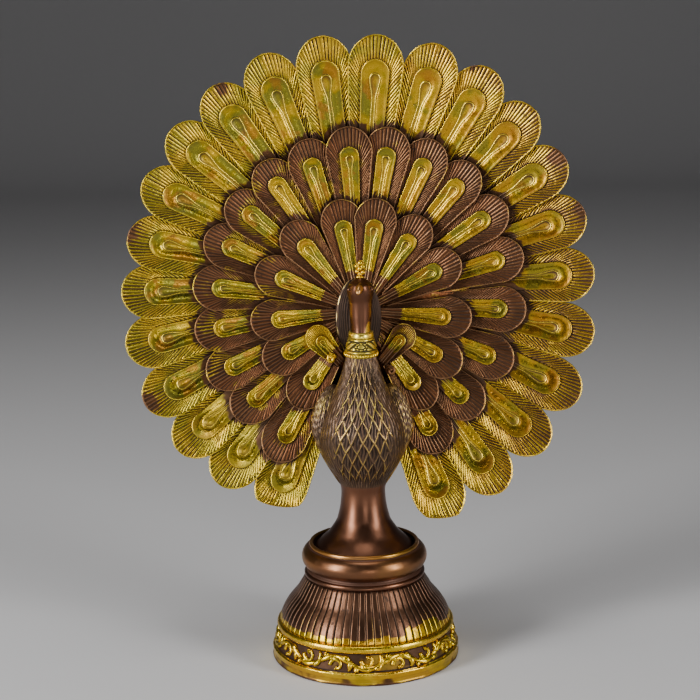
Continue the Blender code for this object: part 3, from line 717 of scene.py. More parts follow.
# Where the casting shows bare or extra gilding, as angle from the top, distance from the hub, size
barePatches = [(-74.6, 0.1126, 0.0075), (-117.4, 0.1169, 0.0080), (-33.2, 0.1150, 0.0042),
               (26.8, 0.1182, 0.0042), (56.3, 0.1129, 0.0060), (70.6, 0.1129, 0.0050)]
giltPatches = [(-5.0, 0.0700, 0.0070), (25.5, 0.0640, 0.0100), (13.0, 0.0650, 0.0080), (58.0, 0.0700, 0.0085)]
# How far from the hub the gilding of a row's eyes starts, then the feathers that keep less of it
eyeGiltFrom = {"middle_feathers": (0.0, {18: 0.0610}),
               "inner_feathers": (0.0185, {0: 0.0300, 11: 0.0285, 1: 0.0230})}
# Eyes with a painted highlight, as feather numbers of a row
paintedHighlightEyes = {"outer_feathers": (0, 1, 2), "inner_feathers": (0, 11)}
# Tips that are broken or worn flat: the feather's number, how much is gone, how flat the break is and
# the angle that it faces
brokenTips = [(0, 0.0060, 0.75, -170.0), (23, 0.0026, 0.75, 176.0)]
ageing = {
    "bareMost": 0.78, "rightRubbed": 0.40, "patchGilt": 0.70, "leftGilt": 0.20, "rightLoss": 0.75,
    "eyeStart": 0.0022, "paintedEyeHighlight": 0.45, "cornerGilt": 0.25, "cornerDirtAndShade": 0.45, "warmth": 0.46,
    "rightWarmth": 0.80, "leftWarmth": 0.22, "topWarmth": 0.22, "footWarmth": 0.12, "toneWarmth": 0.30,
    "bareWarmth": 0.6,
}


def fanPosition(angle, radius, rise):
    turn = math.radians(angle)
    return radius * math.sin(turn), fan["hubHeight"] + rise + radius * math.cos(turn)


def featherPlace(row, angle, points):
    # How far along and how far across one of the row's feathers the points lie
    turn = math.radians(angle)
    x, z = points[:, 0], points[:, 2] - fan["hubHeight"] - fan["radius"] * row["rise"]
    return x * math.sin(turn) + z * math.cos(turn), x * math.cos(turn) - z * math.sin(turn)


def nearnessTo(row, points):
    # How near each point lies to the outline of the row in front: 1 on it, more outside
    size = fan["radius"]
    half, rootHalf = size * row["width"] / 2, size * row["rootWidth"] / 2
    cap, farAway = featherCut["capShare"] * 2 * half, 9.0
    nearest = np.full(len(points), farAway)
    for angle, reach in row["spread"]:
        along, across = featherPlace(row, angle, points)
        widest = size * row["tip"] * reach - cap
        beyond = np.clip(along - widest, 0, None) / cap
        share = np.clip((along - size * row["root"]) / (widest - size * row["root"]), 0, 1)
        width = rootHalf + (half - rootHalf) * share
        field = np.where(along > 0, np.hypot(across / width, beyond), farAway)
        nearest = np.minimum(nearest, field)
    return nearest


def swellEyes(row, feathers, points, number, eye):
    # The brightest eyes are fuller than the others, so one side of each catches the light
    size = fan["radius"]
    eyeHalf = size * row["eyeWidth"] / 2
    for feather in feathers:
        angle, reach = row["spread"][feather]
        along, across = featherPlace(row, angle, points)
        fromTip = size * (row["tip"] * reach - row["eyeFromTip"]) - along
        narrowed = np.clip(1 - fromTip / (size * (row["tip"] - row["root"])), 0, 1)
        half = eyeHalf * (row["eyeTaper"] + (1 - row["eyeTaper"]) * narrowed)
        full = np.clip(1 - (across / half) ** 2 - np.clip(1 - fromTip / eyeHalf, 0, 1) ** 2, 0, 1)
        full *= 1 - smoothStep(fromTip / eyeHalf, 1.0, 2.2)
        points[:, 1] -= fan["eyeSwell"] * eyeHalf * full * eye * (number == feather)


def ageRow(made, row, warmBias, nextRow):
    # Writes each vertex's gilding and warmth, with the bare patches and extra gilding
    v, mesh = ageing, made.data
    points = readPoints(mesh)
    gilt, eye, ridge, groove, tone, number = (readAttribute(mesh, key) for key in (
        "gilt", "eye", "ridge", "groove", "tone", "number"))
    number = number.round()
    rise = fan["radius"] * row["rise"]
    warmed = np.zeros(len(points))
    if row is outerRow:
        for angle, radius, size in barePatches:
            x, z = fanPosition(angle, radius, rise)
            away = np.hypot(points[:, 0] - x, points[:, 2] - z) / size
            away += 0.22 * np.sin(points[:, 0] * 1900 + radius) * np.sin(points[:, 2] * 2300)
            near = 1 - smoothStep(away, 0.35, 1.15)
            gilt *= 1 - v["bareMost"] * near
            warmed = np.maximum(warmed, near)
        for feather, lost, flatness, facing in brokenTips:
            angle, reach = row["spread"][feather]
            outward = np.array([math.sin(math.radians(facing)), math.cos(math.radians(facing))])
            x, z = fanPosition(angle, fan["radius"] * row["tip"] * reach - lost, rise)
            beyond = (points[:, 0] - x) * outward[0] + (points[:, 2] - z) * outward[1]
            pull = np.where(number == feather, np.clip(beyond, 0, None) * flatness, 0)
            points[:, 0] -= pull * outward[0]
            points[:, 2] -= pull * outward[1]
        # On the right the gilding of the barbs is rubbed down to their ridges
        gilt -= v["rightRubbed"] * smoothStep(points[:, 0], 0.02, 0.09) * (1 - eye)
    else:
        for angle, radius, size in giltPatches:
            x, z = fanPosition(angle, radius, rise)
            away = np.hypot(points[:, 0] - x, points[:, 2] - z) / size
            gilt = np.maximum(gilt, v["patchGilt"] * (1 - smoothStep(away, 0.4, 1.0)))
        # On the right the gilding keeps to the eyes
        right = smoothStep(points[:, 0], -0.01, 0.05)
        gilt += v["leftGilt"] * smoothStep(-points[:, 0], 0.0, 0.06) * (tone > 0.3) * (gilt < 0.09)
        gilt *= np.where(readAttribute(mesh, "gilt") < 0.7, 1 - v["rightLoss"] * right, 1.0)
    along = np.hypot(points[:, 0], points[:, 2] - fan["hubHeight"] - rise)
    swellEyes(row, paintedHighlightEyes.get(made.name, ()), points, number, eye)
    mesh.vertices.foreach_set("co", points.ravel())
    start, fewer = eyeGiltFrom.get(made.name, (0.0, {}))
    starts = np.full(len(points), start)
    for feather, distance in fewer.items():
        starts[number == feather] = distance
    gilt *= np.where(starts > 0, smoothStep(along - starts, 0.0, v["eyeStart"]), 1.0)
    # These eyes' panels take the ridge's bright colour: a painted highlight
    bright = np.isin(number, paintedHighlightEyes.get(made.name, ()))
    writeAttribute(mesh, "ridge", np.where(bright, np.maximum(ridge, v["paintedEyeHighlight"] * eye), ridge))
    if nextRow:
        # Bare metal keeps to the corner where the next row stands on this one, darkened partly by dirt and
        # partly by painted shadow of the row in front
        ragged = 0.10 * np.sin(points[:, 0] * 2100) * np.sin(points[:, 2] * 1900 + 1.0)
        clear = smoothStep(nearnessTo(nextRow, points) + ragged, 1.03, 1.30)
        normals = np.empty(len(points) * 3)
        mesh.vertices.foreach_get("normal", normals)
        clear = np.maximum(clear, smoothStep(normals[1::3], 0.2, 0.7))
        gilt *= v["cornerGilt"] + (1 - v["cornerGilt"]) * clear
        writeAttribute(mesh, "groove", np.clip(groove + v["cornerDirtAndShade"] * (1 - clear), 0, 1))
    acrossFan = points[:, 0] / fan["radius"]
    downFan = (fan["hubHeight"] - points[:, 2]) / fan["radius"]
    sideways = np.where(acrossFan > 0, v["rightWarmth"], v["leftWarmth"]) * acrossFan
    warmth = v["warmth"] + warmBias + sideways + v["topWarmth"] * np.clip(-downFan, 0, 1)
    warmth += (v["footWarmth"] * np.clip(downFan, 0, 1) + v["toneWarmth"] * (tone - 0.5)
               + v["bareWarmth"] * warmed)
    writeAttribute(mesh, "gilt", gilt)
    writeAttribute(mesh, "warmth", warmth)
    for name in ("angle", "reach", "number", "tone", "standOut"):
        mesh.attributes.remove(mesh.attributes[name])


def makeFan():
    for name, row, nextRow, finish, seed, warmBias in (
            ("outer_feathers", outerRow, middleRow, giltFeather, 11, -0.05),
            ("middle_feathers", middleRow, innerRow, umberFeather, 12, 0.05),
            ("inner_feathers", innerRow, None, umberFeather, 13, 0.08)):
        made = featherRow(name, row, finish, seed)
        ageRow(made, row, warmBias, nextRow)
        settle(made, "peacock")


makeFan()


# The disc behind the feathers' roots

fanBack = {
    "radius": 0.0620, "back": 0.0018, "front": 0.0020, "flutes": 48, "fluteDepth": 0.00025, "columns": 192,
    "rings": (0.965, 0.95, 0.93, 0.86, 0.78, 0.7, 0.62, 0.54, 0.46, 0.38, 0.3), "dirtAndShade": 0.6, "gilt": 0.18,
}


def dishAt(radius):
    return fan["hubBehind"] - fan["dishDepth"] * (radius / fan["radius"]) ** 2


def makeFanBack():
    v = fanBack
    edge = v["radius"]
    stations = [(edge - 0.0006, -v["front"] * 0.8), (edge, 0.0), (edge, v["back"] * 0.6)]
    stations += [(edge - 0.0005, v["back"])] + [(edge * share, v["back"]) for share in v["rings"]]
    turn = np.linspace(0, math.tau, v["columns"], endpoint=False)
    points, groove = [], []
    for i, (radius, behind) in enumerate(stations):
        ribbed = 1.0 if 6 <= i else 0.0
        wave = 0.5 - 0.5 * np.cos(turn * v["flutes"])
        depth = v["fluteDepth"] * ribbed * wave
        points.append(np.column_stack([radius * np.cos(turn), dishAt(radius) + behind - depth,
                                       fan["hubHeight"] + radius * np.sin(turn)]))
        groove.append(v["dirtAndShade"] * ribbed * wave if i != 5 else np.full_like(turn, v["dirtAndShade"]))
    points = np.vstack(points)
    attributes = plainAttributes(len(points), gilt=v["gilt"])
    attributes["groove"] = np.concatenate(groove)
    made = makeMesh("fan_back", points, tubeFaces(len(stations), v["columns"]), attributes)
    settle(made, "peacock", umberFeather)


makeFanBack()


# Small curled feathers beside the collar, and the mantle behind the neck

curlFeather = {
    "tip": 0.173, "root": 0.0, "startAt": 0.0, "width": 0.1135, "rootWidth": 0.068, "belly": 1.0,
    "eyeWidth": 0.052, "eyeTaper": 0.62, "eyeFromTip": 0.054, "lift": 0.0, "tipLift": 0.0,
    "sideBarbs": 12, "tipBarbs": 20, "back": -0.060, "edge": -0.018, "loopRadius": 0.0011,
    "loopFromEye": 0.0022, "neckFromEye": 0.0062, "stemHalf": 0.0005, "barbGilt": 0.9, "rimGilt": 0.95,
    "fringe": 0.1, "spread": 41.0, "rootOut": 0.0118, "rootDown": 0.0258, "standOff": 0.0140, "turn": 14.0,
    "curlUp": 0.0022,
}

mantleShape = {
    "halfWidth": 0.0113, "halfHeight": 0.0203, "halfDepth": 0.0065, "down": 0.0078, "standOff": 0.0080,
    "aside": 0.0010, "hairs": 46, "hairDepth": 0.00045, "rows": 90, "columns": 230, "lipAngle": 66.0,
    "lipRise": 0.0004,
}


def makeCurlFeathers():
    v = curlFeather
    for side, word in ((-1.0, "left"), (1.0, "right")):
        made = featherMesh(f"curl_feather_{word}", v, 21)
        mesh = made.data
        points = readPoints(mesh)
        share = points[:, 2] / (fan["radius"] * v["tip"])
        points[:, 1] += fan["hubBehind"] - v["standOff"] - v["curlUp"] * share ** 3
        place = Matrix.Translation((side * v["rootOut"], 0.0, fan["hubHeight"] - v["rootDown"]))
        place = place @ Matrix.Rotation(math.radians(side * v["spread"]), 4, "Y")
        points = placePoints(points, place @ Matrix.Rotation(math.radians(-side * v["turn"]), 4, "Z"))
        mesh.vertices.foreach_set("co", points.astype(np.float32).ravel())
        worn = 1.0 if side < 0 else 0.30 + 0.70 * readAttribute(mesh, "eye")
        fade = smoothStep(share, 0.10, 0.32)
        writeAttribute(mesh, "gilt", readAttribute(mesh, "gilt") * worn * fade)
        writeAttribute(mesh, "warmth", np.full(len(points), 0.55))
        settle(made, "peacock", giltFeather)


def makeMantle():
    # A smooth oval of hair-like feathers, with a thin raised lip down its left edge, painted bright as a
    # highlight
    v = mantleShape
    turn = np.linspace(0, math.tau, v["columns"], endpoint=False)
    random = np.random.default_rng(23)
    phase = random.uniform(0, math.tau, 6)
    points, groove, gilt, ridge = [], [], [], []
    for height in np.linspace(-0.995, 0.995, v["rows"]):
        flat = math.sqrt(1 - height * height)
        sway = 0.5 * np.sin(height * 4.0 + phase[0]) + 0.3 * np.sin(height * 9.0 + phase[1])
        hairs = 0.5 + 0.5 * np.sin(turn * v["hairs"] + sway + 1.2 * np.sin(height * 6 + turn * 3 + phase[2]))
        fromFront = np.degrees((turn + math.pi / 2 + math.pi) % math.tau - math.pi)
        lip = np.exp(-((fromFront + v["lipAngle"]) / 4.0) ** 2)
        depth = -v["hairDepth"] * hairs * (1 - lip) + v["lipRise"] * lip
        x = (v["halfWidth"] * flat + depth) * np.cos(turn) - v["aside"]
        y = (v["halfDepth"] * flat + depth) * np.sin(turn) + fan["hubBehind"] - v["standOff"]
        points.append(levelRing(x, y, fan["hubHeight"] - v["down"] + v["halfHeight"] * height))
        groove.append(0.95 * smoothStep(hairs, 0.25, 0.9) * (1 - lip))
        # The lip's gilding and bright ridge are a painted highlight along the left edge
        gilt.append(0.14 * (1 - hairs) + 0.75 * lip * (0.55 + 0.45 * math.sin(height * 17.0)))
        ridge.append(0.25 * (1 - hairs) + 0.9 * lip)
    attributes = ringAttributes(0.45, gilt=gilt, groove=groove, ridge=ridge)
    made = makeMesh("mantle", np.vstack(points), tubeFaces(v["rows"], v["columns"]), attributes)
    settle(made, "peacock", hairBronze)


makeCurlFeathers()
makeMantle()


# The bird: one table gives its outline as shares of its height and of its foot's radius

bird = {
    "height": 0.1355, "footRadius": 0.0243, "footAt": birdLow.z, "columns": 336,
    "lozengeStep": 7.5, "lozengesFrom": -150.0, "lozengeRows": 11, "bellyFrom": 0.26, "bellyTo": 0.715,
    "scaleDepth": 0.00100, "edgeWidth": 0.15, "edgeRise": 0.00025, "strokeDepth": 0.00040,
    "hairDepth": 0.00042, "hairFrom": 0.232, "bodyTop": 0.722, "frontSpan": 43.0, "frontCrowd": 0.52,
    "netGilt": 0.08, "edgeGilt": 0.50, "coatGilt": 0.16, "coatDirt": 0.80,
}

# Share of the height, half width, half depth, and how far forward the section stands
birdOutline = np.array([
    (0.000, 1.00, 1.00, 0.00), (0.020, 0.93, 0.93, 0.00), (0.055, 0.72, 0.72, 0.00),
    (0.105, 0.54, 0.54, 0.00), (0.185, 0.45, 0.45, 0.00), (0.245, 0.48, 0.48, 0.01),
    (0.320, 0.74, 0.72, 0.04), (0.375, 0.86, 0.86, 0.08), (0.435, 0.89, 0.95, 0.12),
    (0.500, 0.80, 0.92, 0.15), (0.560, 0.64, 0.80, 0.19), (0.610, 0.50, 0.66, 0.23),
    (0.660, 0.40, 0.50, 0.27), (0.700, 0.335, 0.41, 0.29), (0.755, 0.262, 0.35, 0.30),
    (0.810, 0.200, 0.28, 0.31), (0.860, 0.217, 0.27, 0.33), (0.915, 0.232, 0.285, 0.35),
    (0.950, 0.262, 0.33, 0.40), (0.978, 0.220, 0.30, 0.43), (1.000, 0.080, 0.11, 0.44),
])


def outlineAt(share):
    # Catmull-Rom curve through the table
    rows = birdOutline
    i = int(np.clip(np.searchsorted(rows[:, 0], share, side="right") - 1, 0, len(rows) - 2))
    before, a, b, after = rows[max(i - 1, 0)], rows[i], rows[i + 1], rows[min(i + 2, len(rows) - 1)]
    t = (share - a[0]) / (b[0] - a[0])
    curve = 0.5 * (2 * a + (b - before) * t + (2 * before - 5 * a + 4 * b - after) * t * t
                   + (3 * a - before - 3 * b + after) * t ** 3)
    return curve[1:] * bird["footRadius"]


def bodyRing(share, turn, swell=0.0):
    wide, deep, forward = outlineAt(share)
    return levelRing((wide + swell) * np.cos(turn), (deep + swell) * np.sin(turn) - forward,
                     bird["footAt"] + bird["height"] * share)


def makeBody():
    v = bird
    # The columns stand closer together at the front, where the scales are
    even = np.linspace(-math.pi, math.pi, v["columns"], endpoint=False)
    turn = even - v["frontCrowd"] * np.sin(even) - math.pi / 2
    fromFront = np.degrees(turn) + 90
    front = 1 - smoothStep(np.abs(fromFront), v["frontSpan"] - 8, v["frontSpan"] + 10)
    across = (fromFront - 90 - v["lozengesFrom"]) / v["lozengeStep"]
    shares = np.concatenate([np.linspace(0, 0.02, 4)[:-1], np.linspace(0.02, v["bellyFrom"], 26)[:-1],
                             np.linspace(v["bellyFrom"], v["bodyTop"], 170)])
    random = np.random.default_rng(31)
    phases = random.uniform(0, math.tau, 97)
    points, gilt, groove, ridge = [], [], [], []
    for share in shares:
        fade = smoothStep(np.array(share), v["hairFrom"], v["hairFrom"] + 0.025)
        netHere = front * smoothStep(np.array(share), v["bellyFrom"] - 0.01, v["bellyFrom"] + 0.03)
        calm = 1 - smoothStep(np.array(share), v["bellyTo"] - 0.055, v["bellyTo"] - 0.015)
        up = (share - v["bellyFrom"]) / (v["bellyTo"] - v["bellyFrom"]) * v["lozengeRows"]
        # Each scale points down: both its lower edges are raised and its top slips under its neighbours
        bend = 0.10 * np.sin(across * 1.7 + up * 0.9) + 0.08 * np.sin(up * 2.9 - across * 0.6)
        rightward, leftward = (up + across + bend) / 2, (up - across + 0.7 * bend) / 2
        p, q = rightward % 1, leftward % 1
        lower, upper = np.minimum(p, q), np.maximum(p, q)
        edge = np.exp(-((lower - 0.5 * v["edgeWidth"]) / (0.42 * v["edgeWidth"])) ** 2)
        step = smoothStep(1 - upper, 0.0, 0.05)
        cell = (np.floor(rightward) * 7 + np.floor(leftward) * 3).astype(int)
        shake = phases[cell % len(phases)]
        wander = 0.10 * np.sin(up * 2.3 + shake) + 0.06 * np.sin(across * 5.1 + shake)
        strokes = 0.5 + 0.5 * np.sin(across * math.tau * 1.5 + shake + 1.1 * np.sin(up * 4 + shake))
        inside = smoothStep(lower, 0.14, 0.28)
        strokes *= inside * smoothStep(1 - upper, 0.02, 0.10)
        scales = (-v["scaleDepth"] * upper ** 1.3 * step - v["scaleDepth"] * (1 - step)
                  + v["edgeRise"] * edge * (0.8 + wander) - v["strokeDepth"] * strokes)
        hairs = 0.5 + 0.5 * np.sin(across * math.tau * 1.3 + up * 1.6 + 1.4 * np.sin(up * 2.1 + across * 0.4))
        tufts = np.sin(up * 3.1 + 2.0 * np.sin(across * 1.9) + across * 0.8) ** 2
        coat = -0.3 * v["scaleDepth"] - v["hairDepth"] * hairs * (0.5 + 0.5 * tufts)
        coatHere = (1 - netHere) * fade
        relief = netHere * (0.30 + 0.70 * calm) * scales + coatHere * coat
        points.append(bodyRing(share, turn, relief))
        # Painted shade and light: each scale darkens towards its top, under the step where it slips beneath
        # its neighbours and in its strokes; the flat between the strokes is painted light
        shade = np.clip(0.25 * upper + 0.85 * (1 - step) + 0.85 * strokes, 0, 1)
        light = np.clip(1 - 1.6 * strokes, 0, 1) * inside * (0.35 + 0.3 * np.sin(shake))
        netGilt = v["netGilt"] + (v["edgeGilt"] + wander) * edge * (0.65 + 0.35 * calm)
        gilt.append(netHere * netGilt + coatHere * v["coatGilt"] * (1 - hairs))
        groove.append(netHere * shade * (1 - edge) + coatHere * v["coatDirt"] * hairs)
        ridge.append(netHere * np.maximum(edge * (0.62 + wander), light)
                     + coatHere * (0.10 + 0.45 * tufts) * (1 - hairs))
    attributes = ringAttributes(0.55, gilt=gilt, groove=groove, ridge=ridge)
    made = makeMesh("body", np.vstack(points), tubeFaces(len(shares), v["columns"]), attributes)
    made.data.materials.append(chasedBronze)
    made.data.materials.append(polishedBronze)
    stemTop = v["footAt"] + v["height"] * (v["hairFrom"] + 0.004)
    for face in made.data.polygons:
        face.material_index = 1 if face.center.z < stemTop else 0
    settle(made, "peacock")


makeBody()


# The folded wings, a lobe of hair-like feathers on each flank

wing = {
    "out": 0.0160, "halfWidth": 0.0090, "halfDepth": 0.0115, "halfHeight": 0.0195, "aboveFoot": 0.0625,
    "lean": 10.0, "rows": 96, "columns": 184, "hairs": 46, "hairDepth": 0.00036, "fringe": 0.0007,
    "tail": 0.58, "tuck": 0.0122,
}


def makeWing(side, word):
    v = wing
    random = np.random.default_rng(37 + int(side))
    turn = np.linspace(0, math.tau, v["columns"], endpoint=False)
    lock = random.uniform(0, math.tau, v["hairs"])
    number = (turn / math.tau * v["hairs"]).astype(int) % v["hairs"]
    points, groove, gilt, ridge = [], [], [], []
    for height in np.linspace(-0.995, 0.995, v["rows"]):
        flat = math.sqrt(1 - height * height)
        twist = 0.9 * height + 0.25 * np.sin(height * 5.0 + lock[number])
        hairs = 0.5 + 0.5 * np.sin(turn * v["hairs"] + 6.0 * twist)
        tuft = np.sin(height * 19.0 + 2.0 * lock[number]) ** 2
        depth = -v["hairDepth"] * hairs - v["fringe"] * tuft * hairs
        low = min(height, 0.0)
        thin = 1 - 0.42 * low * low
        x = (v["halfWidth"] * flat * thin + depth) * np.cos(turn) - side * v["tuck"] * low * low
        y = (v["halfDepth"] * flat * thin + depth) * np.sin(turn)
        points.append(levelRing(x, y, v["halfHeight"] * height * (1 - v["tail"] * low)))
        groove.append(np.clip(0.55 * hairs + 0.4 * tuft * hairs, 0, 1))
        gilt.append(0.12 + 0.22 * (1 - hairs) + (0.12 + 0.30 * tuft if side > 0 else 0.0))
        ridge.append((1 - hairs) * (0.15 + 0.80 * tuft))
    place = Matrix.Translation((side * v["out"], 0.0, bird["footAt"] + v["aboveFoot"]))
    place = place @ Matrix.Rotation(math.radians(-side * v["lean"]), 4, "Y")
    attributes = ringAttributes(1.0 if side > 0 else 0.40, gilt=gilt, groove=groove, ridge=ridge)
    made = makeMesh(f"wing_{word}", placePoints(np.vstack(points), place),
                    tubeFaces(v["rows"], v["columns"]), attributes)
    settle(made, "peacock", chasedBronze)


makeWing(-1.0, "left")
makeWing(1.0, "right")


# Neck, head and beak

head = {
    "columns": 96, "neckFrom": 0.800, "beakAt": 0.969, "beakLength": 0.0058, "beakHalf": 0.0023,
    "beakDroop": 0.28, "beakAside": 0.0012, "eyeAt": 0.962, "eyeRadius": 0.0009, "eyeTurn": 58.0,
    "axisForward": 0.0075, "runTurn": 42.0, "runWidth": 26.0, "runHeight": 0.050, "runGilt": 1.2,
}


def makeNeck():
    v = head
    turn = np.linspace(0, math.tau, v["columns"], endpoint=False)
    shares = np.concatenate([np.linspace(v["neckFrom"], 0.93, 26)[:-1], np.linspace(0.93, 1.0, 22)])
    points = np.vstack([bodyRing(share, turn) for share in shares])
    faces = tubeFaces(len(shares), v["columns"])
    attributes = plainAttributes(len(points), warmth=0.6)
    # A patch of gilding has run up from the collar on the right
    rise = (points[:, 2] - bird["footAt"]) / bird["height"] - v["neckFrom"]
    aside = np.degrees(np.arctan2(points[:, 0], -points[:, 1] - v["axisForward"])) - v["runTurn"]
    away = np.hypot(aside / v["runWidth"], rise / v["runHeight"])
    attributes["gilt"] = v["runGilt"] * (1 - smoothStep(away, 0.75, 1.05))
    attributes["ridge"] = 0.6 * attributes["gilt"]
    skull = makeMesh("skull", points, faces, attributes)

    wide, deep, forward = outlineAt(v["beakAt"])
    start = Vector((0.0, -forward - deep * 0.75, bird["footAt"] + bird["height"] * v["beakAt"]))
    rings, gilt = [], []
    around = np.linspace(0, math.tau, 24, endpoint=False)
    for share in np.linspace(0, 1, 16):
        half = v["beakHalf"] * math.sqrt(max(0.0, 1 - share ** 1.5)) * 0.95 + 0.00006
        middle = start + Vector((-v["beakAside"] * share, -v["beakLength"] * share,
                                 -v["beakLength"] * v["beakDroop"] * share ** 2))
        pinch = 1 - 0.25 * np.abs(np.sin(around)) ** 6
        rings.append(np.column_stack([middle.x + half * np.cos(around) * pinch,
                                      np.full_like(around, middle.y),
                                      middle.z + 1.15 * half * np.sin(around)]))
        gilt.append(np.full_like(around, 0.85 * smoothStep(np.array(share), 0.25, 0.6)))
    points = np.vstack(rings)
    faces = tubeFaces(len(rings), len(around))
    attributes = plainAttributes(len(points), ridge=0.1, warmth=1.3)
    attributes["gilt"] = np.concatenate(gilt)
    bill = makeMesh("bill", points, faces, attributes)

    eyes = []
    wide, deep, forward = outlineAt(v["eyeAt"])
    for side in (-1.0, 1.0):
        turnTo = math.radians(-90 + side * v["eyeTurn"])
        centre = Vector((wide * math.cos(turnTo), deep * math.sin(turnTo) - forward,
                         bird["footAt"] + bird["height"] * v["eyeAt"]))
        ball = ballMesh("eye", v["eyeRadius"], segments=20, gilt=0.1, ridge=0.2, warmth=0.5)
        ball.data.transform(Matrix.Translation(centre))
        eyes.append(ball)
    made = joinPieces("neck_and_head", [skull, bill] + eyes)
    settle(made, "peacock", polishedBronze)


makeNeck()


# Collar: a chased band with a rosette, between a plain band and a row of beads

collar = {
    "columns": 264, "rosetteRadius": 0.0021, "rosetteAt": 0.7600, "petals": 8, "squeeze": 0.62,
    "heart": 0.00085, "petalAt": 0.00155, "petalWidth": 0.00030, "leafLean": 1.3, "leafStep": 0.00120,
    "beads": 32, "beadRadius": 0.00072, "beadAt": 0.7265, "beadSwell": 0.0005, "scrollDepth": 0.00055,
    "chasedFrom": 0.7430, "chasedTo": 0.7770, "chasedSwell": 0.00040,
}
# Share of the bird's height and swell of the plain rings, below and above the chased band
collarBelow = [
    (0.7175, -0.0006), (0.7200, 0.0002), (0.7240, 0.0003), (0.7300, 0.0003), (0.7325, -0.0002),
    (0.7345, -0.0001), (0.7360, 0.0006), (0.7385, 0.0009), (0.7410, 0.0006), (0.7420, 0.0000),
]
collarAbove = [
    (0.7780, 0.0000), (0.7792, 0.0006), (0.7812, 0.0009), (0.7835, 0.0006), (0.7848, -0.0002),
    (0.7868, -0.0002), (0.7880, 0.0006), (0.7910, 0.0009), (0.7990, 0.0009), (0.8050, 0.0007),
    (0.8075, 0.0001), (0.8090, -0.0008),
]


def ringTree():
    # Copies a small piece evenly round an upright ellipse
    floats = dict.fromkeys(("Half Width", "Half Depth", "Forward", "Height"), 0.0)
    inputs = [("Piece", "NodeSocketGeometry", None), ("Count", "NodeSocketInt", 12)]
    inputs += floatSockets(floats) + [("Finish", "NodeSocketMaterial", None)]
    bench, given, out = newGroup("ring of copies", "GeometryNodeTree", inputs,
                                 [("Ring", "NodeSocketGeometry", None)])
    line = bench.add("GeometryNodeMeshLine", {"Count": given["Count"], "Offset": (0, 0, 0)})
    index = bench.add("GeometryNodeInputIndex").outputs[0]
    turn = bench.times(index, bench.calc("DIVIDE", math.tau, given["Count"]))
    across = bench.times(given["Half Width"], bench.calc("COSINE", turn))
    deep = bench.minus(bench.times(given["Half Depth"], bench.calc("SINE", turn)), given["Forward"])
    place = bench.add("ShaderNodeCombineXYZ", {0: across, 1: deep, 2: given["Height"]}).outputs[0]
    spots = bench.add("GeometryNodeSetPosition", {"Geometry": line.outputs[0], "Position": place})
    facing = bench.add("ShaderNodeCombineXYZ", {2: turn}).outputs[0]
    copies = bench.add("GeometryNodeInstanceOnPoints",
                       {"Points": spots.outputs[0], "Instance": given["Piece"], "Rotation": facing})
    real = bench.add("GeometryNodeRealizeInstances", {"Geometry": copies.outputs[0]})
    finish = bench.add("GeometryNodeSetMaterial", {"Geometry": real.outputs[0], "Material": given["Finish"]})
    bench.plug(out["Ring"], finish.outputs[0])
    return bench.tree


copiesRound = ringTree()


def makeCollar():
    v = collar
    turn = np.linspace(0, math.tau, v["columns"], endpoint=False)
    fromFront = (turn + math.pi / 2 + math.pi) % math.tau - math.pi
    rows = [(share, swell, False) for share, swell in collarBelow]
    rows += [(share, v["chasedSwell"], True) for share in np.linspace(v["chasedFrom"], v["chasedTo"], 24)]
    rows += [(share, swell, False) for share, swell in collarAbove]
    points, groove = [], []
    for share, swell, chased in rows:
        wide = outlineAt(share)[0]
        relief = np.zeros_like(turn)
        if chased:
            x = fromFront * wide
            y = (share - v["rosetteAt"]) * bird["height"]
            away = np.hypot(x * v["squeeze"], y)
            heart = np.where(away < v["heart"], 1.0, 0.0)
            petals = 0.65 + 0.35 * np.cos(v["petals"] * np.arctan2(y, x * v["squeeze"]))
            flower = np.maximum(heart, np.exp(-((away - v["petalAt"]) / v["petalWidth"]) ** 2) * petals)
            lean = x + v["leafLean"] * y * np.sign(x)
            leaf = smoothStep(np.abs(np.sin(lean / v["leafStep"])), 0.45, 0.80)
            leaf *= 1 - smoothStep(np.abs(y), 0.0016, 0.0021)
            relief = np.where(away < v["rosetteRadius"], flower, leaf) * 2 - 1
            relief *= v["scrollDepth"]
        points.append(bodyRing(share, turn, swell + relief))
        plainDirt = np.full_like(turn, 0.9 if swell < 0.0002 else 0.0)
        groove.append(1.1 * smoothStep(-relief, -0.0002, 0.0003) if chased else plainDirt)
    points = np.vstack(points)
    attributes = plainAttributes(len(points), gilt=1.3, ridge=0.40, warmth=0.72)
    attributes["groove"] = np.clip(np.concatenate(groove), 0, 1)
    made = makeMesh("collar", points, tubeFaces(len(rows), v["columns"]), attributes)
    settle(made, "peacock", giltCollar)

    wide, deep, forward = outlineAt(v["beadAt"])
    beads = ballMesh("collar_beads", v["beadRadius"], squash=(1.0, 1.25, 1.25))
    bakeNodes(beads, copiesRound, {
        "Count": v["beads"], "Half Width": wide + v["beadSwell"], "Half Depth": deep + v["beadSwell"],
        "Forward": forward, "Height": bird["footAt"] + bird["height"] * v["beadAt"], "Finish": giltTrim})
    settle(beads, "peacock")


makeCollar()


# Crest: a small cluster of gilt beads on a flat stalk

crest = {
    "from": 0.985, "height": 0.0108, "width": 0.0052, "thickness": 0.0018, "beadRadius": 0.00130,
    "stalkShort": 0.0016, "beadForward": 0.0004, "forwardAt": 0.97,
    "spots": ((0.03, 1.0), (-0.28, 0.84), (0.27, 0.80), (-0.02, 0.70), (-0.27, 0.56), (0.27, 0.50),
              (0.0, 0.40), (-0.16, 0.24), (0.17, 0.20)),
}


